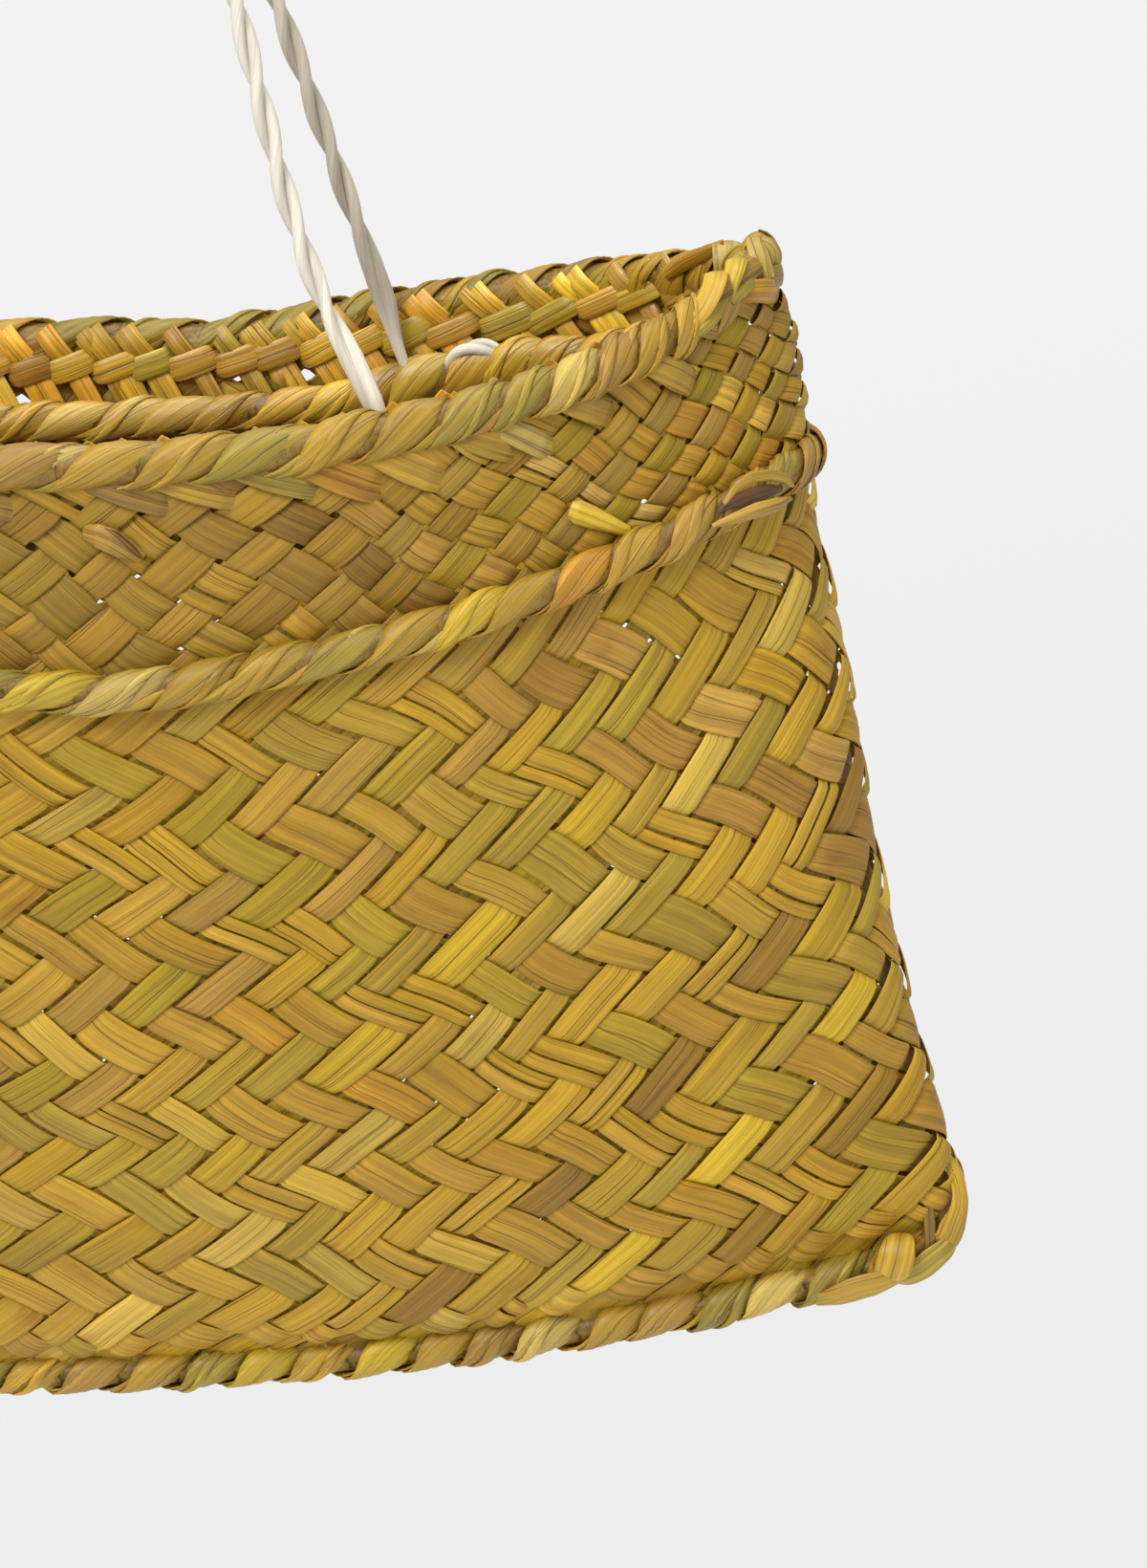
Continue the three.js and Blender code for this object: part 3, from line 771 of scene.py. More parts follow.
dense_station = np.linspace(0, 4, 4001)
dense_across = np.sin(QUARTER * dense_station)
map_u = np.arange(STRIPS * MAP_FINE + 1) / MAP_FINE
map_rows = np.arange(round((ROW_HIGH - ROW_LOW) * MAP_ROWS_FINE) + 1) / MAP_ROWS_FINE + ROW_LOW
map_station = np.empty((len(map_rows), len(map_u)))
map_point = np.empty((len(map_rows), len(map_u), 3))
for index, row in enumerate(map_rows):
    heights = row_height(row, dense_across)
    line = wall_point(dense_station, heights)
    steps = even_round(line)
    wanted = crowded(map_u, spread_at(heights.mean()))
    map_station[index] = np.interp(wanted, steps, dense_station)
    for axis in range(3):
        map_point[index, :, axis] = np.interp(wanted, steps, line[:, axis])
map_point = softened(map_point, MAP_SOFTENINGS, axis=1)
round_way = np.roll(map_point[:, :-1], -2, 1) - np.roll(map_point[:, :-1], 2, 1)
round_way = np.concatenate([round_way, round_way[:, :1]], axis=1)
map_normal = unit(np.cross(round_way, np.gradient(map_point, axis=0)))
one_strip = float(np.linalg.norm(map_point[HALF_WAY_ROW, MAP_FINE] - map_point[HALF_WAY_ROW, 0]))
print("strips are", round(one_strip / MM, 1), "mm apart half-way up")


def read_map(table, u, row):
    """A value of the map at any u and row, blended from the four nearest entries."""
    x = np.mod(u, STRIPS) * MAP_FINE
    y = np.clip((row - ROW_LOW) * MAP_ROWS_FINE, 0, len(map_rows) - 1.001)
    left, low = np.floor(x).astype(int), np.floor(y).astype(int)
    x, y = x - left, y - low
    if table.ndim == 3:
        x, y = x[..., None], y[..., None]
    bottom = table[low, left] * (1 - x) + table[low, left + 1] * x
    top = table[low + 1, left] * (1 - x) + table[low + 1, left + 1] * x
    return bottom * (1 - y) + top * y


# %% [markdown]
# ## Which strip is on top
# The lower wall is a two-over, two-under twill whose rows run level, and above the ridge it turns into
# a plain check. Where strip number a of the falling kind crosses strip number b of the rising kind, the
# difference a - b says which row the crossing is in. So one list of signs, from the base up, is the
# whole pattern: +1 where the rising strip is on the outside and -1 where the falling strip is.

# %% Weave pattern
FIRST_ROW, LAST_ROW = -4, 52
STEEPNESS = 2.3
pattern_row = np.arange(FIRST_ROW, LAST_ROW)
signs = np.where(pattern_row % 4 >= 2, 1, -1)
signs[pattern_row == 0] = 1
in_check = pattern_row >= 2 * RIDGE_ROW
signs[in_check] = np.where(pattern_row[in_check] % 2 == 0, 1, -1)


def rim_row(u):
    """The row that the rim's top is on."""
    across = np.sin(QUARTER * np.interp(np.mod(u, STRIPS), map_u, map_station[-1]))
    return RIDGE_ROW + BAND_ROWS + BAND_ROWS_MORE * across**2


def over_under(row, pattern):
    """From -1 to 1 along a strip, changing smoothly where the strip passes through the weave."""
    nearest = np.clip(np.round(row).astype(int) - FIRST_ROW, 1, len(pattern) - 2)
    part = row - np.round(row)
    other = np.where(part >= 0, pattern[nearest + 1], pattern[nearest - 1])
    to_edge = np.where(other == pattern[nearest], 0.5, 0.5 - np.abs(part))
    lift = np.tanh(STEEPNESS * np.sin(math.pi * np.clip(to_edge, 0, 0.5))) / math.tanh(STEEPNESS)
    return pattern[nearest] * lift


# %% [markdown]
# ## The leaf strips
# Every strip is a thin closed ribbon. Its section is slightly arched with thin edges, and it moves out
# and in by 0.6 mm as it passes over and under. The widths vary because one strip's edge is its
# neighbour's edge: the shared edges are shifted a little at random. About one strip in eleven is two
# narrow leaves side by side. Colours come from a short list of flax colours, and drift along a strip.

# %% Strip helpers
def fold_near(station):
    """1 at the tips of the two folds, and 0 along the front and back."""
    from_tip = np.abs(np.mod(station, 2) - 1)
    return np.maximum(0, np.cos(QUARTER * np.minimum(1, from_tip / (1 - FOLD_STATION))))


dice = np.random.default_rng(11)
WAVE = 0.58 * MM
LEAF_THICKNESS = 0.34 * MM
CROWN = 0.32 * MM
RIM_COLLAR, BASE_TUCK = 1.6 * MM, 2.0 * MM
SECTION = np.array([-1, -0.9, -0.5, 0, 0.5, 0.9, 1])
ROUNDED = np.array([0.16, 0.03, 0, 0, 0, 0.03, 0.16]) * MM
STEPS_PER_ROW = 6
EDGE_SHIFT, WARP = 0.13, 0.055
EDGE_GAP, GAP_WANDER, CROSSING_GAP = 0.05, 0.035, 0.045
LEAF_TILT, LEAF_FOLD_MM = 0.13 * MM, 0.14
ACROSS_CM, ROW_CM = 0.42, 0.86
SEEDS = 100
SPLIT_SHARE, SPLIT_PLACE, SPLIT_GAP = 0.09, 0.35, 0.01

LEAF_COLOURS = np.array([
    (0.500, 0.300, 0.022),
    (0.430, 0.245, 0.032),
    (0.385, 0.275, 0.028),
    (0.530, 0.255, 0.014),
    (0.600, 0.420, 0.085),
    (0.310, 0.158, 0.016),
    (0.600, 0.405, 0.020),
])
PLAIN_COLOUR = LEAF_COLOURS[1]
COLOUR_SHARES = np.array([0.27, 0.27, 0.20, 0.08, 0.06, 0.06, 0.06])


def some_colour(shares=COLOUR_SHARES):
    return LEAF_COLOURS[dice.choice(len(LEAF_COLOURS), p=shares / shares.sum())]


def shared_edges():
    """Edges between neighbouring strips, shifted at random, repeating once round the bag."""
    shift = dice.uniform(-EDGE_SHIFT, EDGE_SHIFT, STRIPS)
    count = np.arange(-STRIPS, 3 * STRIPS)
    return count - 0.5, count - 0.5 + shift[count % STRIPS]


rising_edges, falling_edges = shared_edges(), shared_edges()
warp_phase = dice.uniform(0, 2 * math.pi, (2, 4))


def hand_warp(u, row):
    """A slow drift of the whole weave, sideways and upwards."""
    moved = []
    for phase in warp_phase:
        turn = 2 * math.pi * u / STRIPS
        wave = np.sin(9 * turn + 0.7 * row + phase[0]) + np.sin(14 * turn - 0.9 * row + phase[1])
        moved.append(WARP * (wave + np.sin(5 * turn + 1.3 * row + phase[2])))
    return u + moved[0], row + moved[1]


def there_and_back(upper, lower=None):
    """Values round a closed section: across its upper face, then back across its lower face."""
    lower = upper if lower is None else lower
    return np.concatenate([upper, lower[:, ::-1]], axis=1)


def leaf_rings(middle, normals, lift, thickness):
    """Thin closed sections with rounded edges, set off from a leaf's middle by the lift."""
    upper = middle + normals * (lift - ROUNDED + thickness / 2)[..., None]
    lower = middle + normals * (lift + ROUNDED - thickness / 2)[..., None]
    return there_and_back(upper, lower)


def ribbon(sense, number, low, high, rows, pattern, base, gaps, wave, tint):
    """A ribbon of the weave, from low to high across its strip, at the given rows, with its map place."""
    seed = dice.uniform(0, SEEDS)
    margin = EDGE_GAP + GAP_WANDER * wander(dice, rows, 2.5) + gaps
    height = over_under(rows, pattern) * sense
    margin = margin + CROSSING_GAP * (1 - np.abs(height))
    middle, half = (low + high) / 2, (high - low) / 2
    across = middle + (half * (1 - margin[:, None] * 2)) * SECTION[None, :]
    edges, others = (rising_edges, falling_edges)[::sense]
    own = np.interp(number + across / 2, *edges)
    other = np.interp(number + 2 * (rows / 2) * sense, *others)[:, None]
    u, row = hand_warp((own + other) / 2, sense * (other - own) / 2)
    points, normals = read_map(map_point, u, row), read_map(map_normal, u, row)
    fold = dice.choice([-0.5, 0, 0.5]) == SECTION
    arch = CROWN * (1 - SECTION**2) - fold * dice.uniform(0, LEAF_FOLD_MM) * MM
    tilt = LEAF_TILT * wander(dice, rows, 1.7)
    lift = height[:, None] * (np.reshape(wave, (-1, 1)) + arch[None, :])
    lift = lift + tilt[:, None] * SECTION[None, :] * np.abs(height)[:, None]
    rings = leaf_rings(points, normals, np.reshape(base, (-1, 1)) + lift, LEAF_THICKNESS)[:, ::-sense]
    centimetres = there_and_back(across)[:, ::-sense] * ACROSS_CM
    leaf = leaf_places(rings.shape, centimetres, rows[:, None] * ROW_CM, seed)
    second = some_colour()
    share = np.clip(0.2 + 0.35 * wander(dice, rows, 5.0), 0, 1)[:, None, None]
    bright = 1 + 0.1 * wander(dice, rows, 2.0)[:, None, None]
    colours = np.broadcast_to((tint * (1 - share) + second * share) * bright, rings.shape)
    centre = np.searchsorted(SECTION, 0)
    return rings, leaf, colours, u[:, centre], row[:, centre], points[:, centre], height


def strip_signs(sense, number):
    """The signs for one strip, with two rows of falling strips on top just under the rim."""
    u = number + sense * pattern_row / 2
    return np.where((rim_row(u) - pattern_row / 2 < 1.2) & in_check, -1, signs)


def leaves_of_strip():
    """How a strip is split across: mostly one leaf, sometimes two side by side."""
    if dice.random() < SPLIT_SHARE:
        cut = dice.uniform(-SPLIT_PLACE, SPLIT_PLACE)
        return [(-1, cut - SPLIT_GAP), (cut + SPLIT_GAP, 1)]
    return [(-1, 1)]


def region_of(station, row):
    """The part of the bag that a place of the map is in."""
    from_fold = np.abs(np.mod(station, 2) - 1)
    level = np.where(row < RIDGE_ROW, 0, 1)
    part = np.where(from_fold < 1 - FOLD_STATION, np.where(np.mod(station, 4) < 2, 1, 3), 0)
    part = np.where((part == 0) & (np.abs(np.mod(station, 4) - 2) < FOLD_STATION), 2, part)
    return part + 4 * level


def cut_by(regions, height, rings, leaf, tint, name_of):
    """Adds a tube to the pieces its stretches are in. A region below 0 is left out."""
    regions = regions.copy()
    for change in np.nonzero(np.diff(regions))[0]:
        nearby = np.arange(max(0, change - CUT_REACH), min(len(regions), change + CUT_REACH + 1))
        lowest = nearby[np.argmin(height[nearby])]
        if regions[change] >= 0 and regions[min(change + 1, len(regions) - 1)] >= 0:
            before, after = regions[change], regions[change + 1]
            regions[min(lowest, change + 1): change + 1] = after
            regions[change + 1: max(lowest, change + 1)] = before
    start = 0
    for index in range(1, len(regions) + 1):
        if index == len(regions) or regions[index] != regions[start]:
            stop = min(index + 1, len(regions))
            if regions[start] >= 0 and stop - start > 1:
                part = slice(start, stop)
                add_tube(name_of(int(regions[start])), rings[part], leaf[part], tint[part])
            start = index


PARTS = ["front", "right", "back", "left"]
BAND_SHADE, BACK_GAPS, STEEP_GAPS = 0.78, 0.06, 0.13
CUT_REACH = 6
FOLD_ROWS = [0, 2, 4, 8, 10, 12.5, 14, 15.5, 17, 19.3, 20.5, 22]
FOLD_SHIFT = [0, -0.3, -1.8, -1.9, -0.6, 0.0, -1.0, -0.4, 1.6, 1.6, -0.8, -2]

# %% [markdown]
# Now the walls. Each strip runs from inside the base plait to inside the rim. It is cut where the CAD
# cuts the wall, so the pieces can be told apart, but both sides of a cut share the same ring of points
# and no seam shows.

# %% Weave the walls
WALL_ROWS, ROWS_IN_BASE, CUT_BELOW_RIM = 44, 0.8, 4 * MM
FOLD_CLOSES, FOLD_WAVE, STEEP_WAVE = 0.03, 0.6, 1.1
COLLAR_AT_FOLD, COLLAR_ROWS, TUCK_ROWS = 2.6, 1.7, 1.4
BAND_CALM, WALL_CALM = 0.55, 0.25


def half_wave(part):
    """From a half to minus a half, smoothly, while part goes from 0 to 1."""
    return 0.5 * np.cos(math.pi * np.clip(part, 0, 1))


def wall_colours(colours, sense, in_band, beside):
    """A wall's leaf colours evened out, with the band darker and its strips apart in hue at the sides."""
    shade = np.where(in_band, BAND_SHADE + 0.12 * beside, 1.0)
    even = PLAIN_COLOUR * colours[..., 1:2] / PLAIN_COLOUR[1]
    calm = np.where(in_band, BAND_CALM - 0.45 * np.clip(beside, 0, 1), WALL_CALM)[:, None, None]
    colours = (colours * (1 - calm) + even * calm) * shade[:, None, None]
    redder = np.where(in_band, 0.97, 1.0) + 0.05 * sense * beside
    return colours * np.clip(redder, 0.85, 1.1)[:, None, None] ** [0.3, 1, 0]


wall_rows = np.arange(-ROWS_IN_BASE * STEPS_PER_ROW, WALL_ROWS * STEPS_PER_ROW) / STEPS_PER_ROW
for kind, sense in (("rising", 1), ("falling", -1)):
    for number in range(STRIPS):
        tint = some_colour()
        own_u = number + sense * wall_rows / 2
        below_rim = rim_row(own_u) - wall_rows / 2
        station = read_map(map_station, own_u, wall_rows / 2)
        at_fold = fold_near(station)
        at_back = np.clip(8 * (0.85 - np.abs(station - 2)), 0, 1)
        steep = at_fold * (station < 2 if sense > 0 else station > 2)
        steep = steep * np.clip(RIDGE_ROW + 0.7 - wall_rows / 2, 0.05, 1)
        gaps = BACK_GAPS * at_back * np.clip(2.5 - 0.5 * below_rim, 0, 1)
        gaps = gaps + STEEP_GAPS * steep - FOLD_CLOSES * at_fold
        wave = WAVE * (1 + FOLD_WAVE * at_fold + STEEP_WAVE * steep)
        collar = RIM_COLLAR * (1 - COLLAR_AT_FOLD * at_fold) * (0.5 - half_wave(COLLAR_ROWS - below_rim))
        collar = collar - BASE_TUCK * (0.5 + half_wave(wall_rows / TUCK_ROWS))
        collar = collar + at_fold * np.interp(wall_rows / 2, FOLD_ROWS, FOLD_SHIFT) * MM
        pattern = strip_signs(sense, number)
        for low, high in leaves_of_strip():
            own_tint = tint * dice.uniform(0.9, 1.08) * [1, 0.985, dice.uniform(0.2, 1.3)]
            rings, leaf, colours, u, row, points, height = ribbon(
                sense, number, low, high, wall_rows, pattern, collar, gaps, wave, own_tint)
            across = points[:, 0] / MOUTH_HALF_WIDTH
            colours = wall_colours(colours, sense, row > RIDGE_ROW, across**2)
            regions = region_of(read_map(map_station, u, row), row)
            in_rim = points[:, 2] + PEG_RISE > rim_top(across) - CUT_BELOW_RIM
            cut_by(np.where(in_rim, -1, regions), height, rings, leaf, colours, lambda at, kind=kind: (
                f"{PARTS[at % 4]}_{'check' if at > 3 else 'twill'}_{kind}"))

for part in PARTS:
    sides = "wall" if part in ("front", "back") else "fold"
    band = "band" if part in ("front", "back") else "fold"
    for kind in ("rising", "falling"):
        finish_piece(f"{part}_twill_{kind}", "bag", "twill_leaf", twill_leaf, f"{part}_twill_{sides}")
        finish_piece(f"{part}_check_{kind}", "bag", "check_leaf", check_leaf, f"{part}_check_{band}")

# %% [markdown]
# ## Single leaves
# A leaf that isn't part of the regular weave is laid along its own middle line. It needs a direction
# that its face looks in at each point, and its half width. It is arched a little, like the others.

# %% Single leaf helper
SHADE_LENGTH = 8 * MM
LINE_SOFTENINGS = 60
BACK_DIP_MM, BACK_DIP_X_MM, BACK_DIP_LENGTH_MM = 2.0, 22, 18


def lay_leaf(piece, line, facing, half_width, tint, arch=0.4 * MM, thickness=LEAF_THICKNESS):
    """A leaf whose middle follows a line, with its face turned to the given directions."""
    along = unit(np.gradient(line, axis=0))
    beside = unit(np.cross(facing, along))
    facing = np.cross(along, beside)
    across = np.broadcast_to(half_width, len(line))[:, None] * SECTION[None, :]
    middle = line[:, None] + across[..., None] * beside[:, None]
    rings = leaf_rings(middle, facing[:, None], arch * (1 - SECTION**2), thickness)
    run = running_length(line)
    across, along = there_and_back(across) * CM_PER_M, run[:, None] * CM_PER_M
    leaf = leaf_places(rings.shape, across, along, dice.uniform(0, SEEDS))
    shade = 1 + 0.1 * wander(dice, run, SHADE_LENGTH)
    colours = np.broadcast_to(np.reshape(tint, (-1, 1, 3)) * shade[:, None, None], rings.shape)
    add_tube(piece, rings, leaf, colours)


def round_line(height_of, offset, spread):
    """A function that gives points, outward and upward directions and stations at any u."""
    heights = height_of(dense_across, dense_station)
    line = softened(wall_point(dense_station, heights, offset), LINE_SOFTENINGS)
    steps = even_round(line)

    def at(u):
        wanted = np.mod(crowded(u, spread), STRIPS)
        points = np.stack([np.interp(wanted, steps, line[:, axis]) for axis in range(3)], -1)
        along = unit(np.gradient(points, axis=0))
        outward = unit(np.cross(along, [0, 0, 1.0]))
        return points, outward, np.cross(outward, along), np.interp(wanted, steps, dense_station)

    return at


def back_dip(across, station):
    """How far the back rim lies below its curve, in mm. This too is hand work."""
    from_middle = (across * MOUTH_HALF_WIDTH / MM - BACK_DIP_X_MM) / BACK_DIP_LENGTH_MM
    middle = BACK_DIP_MM * np.exp(-(from_middle**2))
    return (middle + np.clip((np.abs(across) - 0.6) / 0.15, 0, 1)) * (np.abs(np.mod(station, 4) - 2) < 1)


# %% [markdown]
# ## The folded ends inside the rim
# At the rim every strip turns over and comes down the inside. Each end slants down to the right, dips
# under one short crossing leaf half-way, and is held under the inner plait further down. Some ends are
# two leaves. They stick out below the inner plait, trimmed by eye and browned at their tips.

# %% Folded ends
FACING_BASE = -(HALF_WALL + GAP + FACING_THICKNESS / 2)
ENDS = 62
ENDS_SPREAD = -0.155
CROSSING_DEPTH = 9.6
DRIED_TIP = np.array([0.21, 0.105, 0.03])
DEPTHS = [0.0, 1.0, 3.0, 6.4, 8.0, 11.2, 12.8, 17.5, 24.0, 32.0]
STANDS_IN = [-2.2, -1.2, 0.85, 0.9, -0.4, -0.4, 0.5, 0.2, 0.2, 1.9]
END_SLANT, END_BEND, END_SPACING = 0.92, 0.013, 9.6
TIP_LENGTH_MM = 2.5
SECOND_LEAF_SHARE = 0.5
ends_line = round_line(lambda across, _: rim_top(across) - CROSSING_DEPTH * MM, FACING_BASE, ENDS_SPREAD)


def facing_place(count, depth, stands_in):
    """Points of the facing and the directions into the bag: counts of ends, and depths in mm."""
    station = ends_line(count * STRIPS / ENDS)[3]
    height = rim_top(np.sin(QUARTER * station)) - depth * MM
    point = wall_point(station, height, FACING_BASE - stands_in * MM)
    inward = unit(wall_point(station, height, FACING_BASE - MM) - wall_point(station, height, FACING_BASE))
    return point, inward, station


def end_count(first, depth):
    """How a folded end moves round the bag as it goes down, in counts of ends."""
    return first - (END_SLANT * depth - END_BEND * depth**2) / END_SPACING


def inner_side(station):
    """The wall whose inside a station is on, or None near a fold."""
    middle = np.mod(station, 4)
    if min(middle, 4 - middle) < INNER_END_STATION:
        return "front"
    return "back" if abs(middle - 2) < INNER_END_STATION else None


def folded_end(first, half_width, low, high, back, tint):
    """One folded end from a depth to another, set back a little where it is the second leaf."""
    top = facing_place(end_count(first, low), low, 0)[2]
    dip = back_dip(np.sin(QUARTER * top), top)
    depth = np.linspace(low + dip, high, 40)
    stands_in = np.interp(depth - dip, DEPTHS, STANDS_IN)
    stands_in = np.convolve(np.pad(stands_in, 2, mode="edge"), np.ones(5) / 5, mode="valid") - back
    point, inward, station = facing_place(end_count(first, depth), depth, stands_in)
    side = inner_side(station[len(station) // 2])
    if side:
        from_tip = (high - depth) / TIP_LENGTH_MM
        width = half_width * (0.35 + 0.65 * np.clip(from_tip, 0, 1) ** 0.5)
        browned = np.clip(1 - from_tip * 0.6, 0, 0.8)[:, None]
        tint = tint * (1 - browned) + DRIED_TIP * browned
        lay_leaf(f"{side}_folded_ends", point, inward, width, tint)


def crossing_leaf(first, half_width, tint):
    """One short leaf that goes up to the right over a folded end, like a band round it."""
    part = np.linspace(-1, 1, 26)
    middle = end_count(first, CROSSING_DEPTH)
    stands_in = -1.2 + 2.3 * (1 - np.abs(part) ** 5)
    depth = CROSSING_DEPTH - part * dice.uniform(1.3, 2.2) + 0.6 * dice.uniform(-1, 1)
    point, inward, station = facing_place(middle - part * dice.uniform(0.56, 0.66), depth, stands_in)
    side = inner_side(station[len(station) // 2])
    if side:
        lay_leaf(f"{side}_folded_ends", point, inward, half_width * (1 - 0.15 * part**4), tint)


for end in range(ENDS):
    first = end + dice.uniform(-0.14, 0.14)
    wide = dice.uniform(1.9, 2.9) * MM
    # The folded ends are brightened to 1.2 to 1.95 times their leaf colour: partly the paler colour of these
    # leaves, and partly painted light for the lit inside of the bag.
    tint = (some_colour() * 0.65 + PLAIN_COLOUR * 0.35) * dice.uniform(1.2, 1.95)
    folded_end(first, wide, 1.4, dice.uniform(26, 32), 0.0, tint)
    if dice.random() < SECOND_LEAF_SHARE:
        beside, reach, shade = dice.uniform(0.25, 0.45), dice.uniform(17, 27), dice.uniform(0.75, 1.1)
        folded_end(first + beside, wide * 0.8, 2.0, reach, 0.3, tint * shade)
    # The crossing leaves are brightened 1.15 to 1.55 times in the same way, partly paler leaf and partly
    # painted light.
    crossing_leaf(first, dice.uniform(2.2, 3.0) * MM, some_colour() * dice.uniform(1.15, 1.55))
for part in ("front", "back"):
    finish_piece(f"{part}_folded_ends", "bag", "check_leaf", inner_leaf, f"{part}_rim_facing")

# %% [markdown]
# ## The plaits
# Seen from outside, each plait is a row of broad leaves that slant up to the right. Every leaf winds
# once round the plait's line: it comes up from behind, lies with its upper edge over the leaf before,
# and is tucked under the next. The edge stands up a little, which draws the dark line between leaves.
# Half of the leaves have their middle on the outside and half on the inside.

# %% Plait helpers
WRAP_ACROSS = np.linspace(0, 1, 8)
WRAP_ANGLES = np.radians([-120, -88, -36, 27, 69, 90])
WRAP_RISE = [0.60, 0.76, 0.93, 1.03, 1.05, 0.98]
WRAP_THIN = np.array([0.5, 1, 1, 1, 1, 1, 1, 0.5])
FIBRE_SHEAR = 0.4
WRAP_THICKNESS, WRAP_REACH = 0.11, 0.97
FIBRE_CM, ALONG_CM = 0.42, 1.6


def wrap_leaf(piece, line, middle, turn, section, arc, tint, size, raised, flip, fall, square):
    """One leaf of a plait, which winds once round the line and is tucked in at both ends."""
    place = np.linspace(-WRAP_REACH, WRAP_REACH, 25)
    points, outward, upward, station = line(middle + place)
    half_depth, half_height = section(station)
    low, high = np.radians(arc)
    taper = np.cos(QUARTER * place)[:, None] ** 0.6
    relative = (low + (high - low) * WRAP_ACROSS[None, :]) * taper
    angle = turn + math.pi * place[:, None] + flip * relative
    arch = 0.05 * (1 - (2 * WRAP_ACROSS - 1) ** 2) if raised else 0
    radius = size * (np.interp(relative, WRAP_ANGLES, WRAP_RISE) + raised + arch)
    radius = radius * (1 - fall * np.abs(place) ** 2.2)[:, None]
    far_out = np.sign(np.cos(angle)) * np.abs(np.cos(angle)) ** square
    far_up = np.sign(np.sin(angle)) * np.abs(np.sin(angle)) ** square

    def shell(radius):
        out = (np.reshape(half_depth, (-1, 1)) * radius * far_out)[..., None] * outward[:, None]
        up = (np.reshape(half_height, (-1, 1)) * radius * far_up)[..., None] * upward[:, None]
        return points[:, None] + out + up

    rings = there_and_back(shell(radius), shell(radius - WRAP_THICKNESS * WRAP_THIN[None, :]))
    fibre = FIBRE_CM * (flip * relative + FIBRE_SHEAR * math.pi * place[:, None])
    leaf = leaf_places(rings.shape, there_and_back(fibre), place[:, None] * ALONG_CM, dice.uniform(0, SEEDS))
    # Painted shade: each leaf is darker towards its tucked-in ends and towards its edge that is tucked under
    # the next leaf.
    shade = (1 - 0.25 * np.abs(place) ** 3)[:, None] * (1 - 0.3 * (1 - WRAP_ACROSS) ** 3)[None, :]
    add_tube(piece, rings, leaf, there_and_back(shade)[..., None] * tint)


PLAIT_SHARES = np.array([0.36, 0.25, 0.2, 0.05, 0.08, 0.01, 0.05])
# The core is the plain leaf colour darkened to 0.55, as painted shade: it is only seen in the gaps between
# the plait's leaves.
CORE, CORE_SIDES, CORE_PAINTED_SHADE = 0.78, 12, PLAIN_COLOUR * 0.55
EXTRA_LEAF_SHARE, EXTRA_LEAF_RAISED = 0.55, 0.07


def plait(line, middles, section, name_of, flip=1, square=1.0, glow=1.0):
    """Leaves round a line, two for each count. Those that face the eye lie over the others."""
    around = full_turn(CORE_SIDES)[None, :, None]
    for middle in middles:
        points, outward, upward, station = line(middle + np.linspace(-0.55, 0.55, 9))
        piece = name_of(station[4])
        if piece:
            half_depth, half_height = (CORE * np.reshape(half, (-1, 1, 1)) for half in section(station))
            core = points[:, None] + half_depth * np.cos(around) * outward[:, None]
            core = core + half_height * np.sin(around) * upward[:, None]
            add_tube(piece, core, core * CM_PER_M, np.broadcast_to(CORE_PAINTED_SHADE, core.shape))
        for shown, turn in ((flip == 1, 0), (flip == -1, math.pi)):
            at = middle + dice.uniform(-0.12, 0.12)
            piece = name_of(line(np.array([at, at + 0.01]))[3][0])
            if piece is None:
                continue
            # A glow above 1 is painted light: it brightens the leaves for the lit inside of the bag, and
            # evens their colours towards the plain one.
            share = 1.25 * (glow - 1)
            tint = some_colour(PLAIT_SHARES) * (1 - share) + PLAIN_COLOUR * share
            tint = tint * dice.uniform(0.8, 1.02) * glow
            size = dice.uniform(0.95, 1.07) * (1 if shown else 0.92)
            fall = 0.1 if shown else 0.22
            arc = (-120, dice.uniform(76, 98))
            wrap_leaf(piece, line, at, turn, section, arc, tint, size, 0, flip, fall, square)
            if dice.random() < EXTRA_LEAF_SHARE:
                low = dice.uniform(-60, 25)
                arc = (low, low + dice.uniform(30, 50))
                tint = tint * dice.uniform(0.95, 1.2)
                raised = EXTRA_LEAF_RAISED
                wrap_leaf(piece, line, at, turn, section, arc, tint, size, raised, flip, fall, square)


def part_at(station):
    """The name of the part of the bag that a station is in."""
    return PARTS[int(region_of(np.array([station]), np.zeros(1))[0])]


# %% [markdown]
# The rim and the ridge run all the way round. The rim stands over the wall's edge, a little to the
# outside, because the folded ends need the room inside. The ridge lies on the outside of the wall.

# %% Rim and ridge plaits
RIM_HALF_DEPTH, RIM_HALF_HEIGHT, RIM_LEAN_OUT = 3.9 * MM, 5.1 * MM, 1.5 * MM
RIDGE_HALF_DEPTH, RIDGE_HALF_HEIGHT = 3.2 * MM, 4.4 * MM
RIM_FOLD_IN, RIDGE_FOLD_IN, RIDGE_FOLD_DOWN = 4.0 * MM, 2.7 * MM, 3.5 * MM
RIM_DOWN_MM, RIM_CORNER_DOWN_MM = 4.7, 1.2
near_corner = np.clip((np.abs(dense_across) - 0.7) / 0.25, 0, 1)
near_corner = near_corner**2 * (3 - 2 * near_corner)
rim_line = round_line(
    lambda across, station: rim_top(across) - (
        RIM_DOWN_MM + RIM_CORNER_DOWN_MM * near_corner + back_dip(across, station)) * MM,
    RIM_LEAN_OUT * (1 - 2 * near_corner) - RIM_FOLD_IN * fold_near(dense_station), TOP_SPREAD)
ridge = round_line(
    lambda across, station: ridge_line(across) - RIDGE_FOLD_DOWN * fold_near(station),
    HALF_WALL + GAP + RIDGE_DEPTH / 2 - RIDGE_FOLD_IN * fold_near(dense_station), TOP_SPREAD * 0.5)
plait(
    rim_line, range(STRIPS), lambda _: (RIM_HALF_DEPTH, RIM_HALF_HEIGHT),
    lambda station: f"{part_at(station)}_rim_leaves")
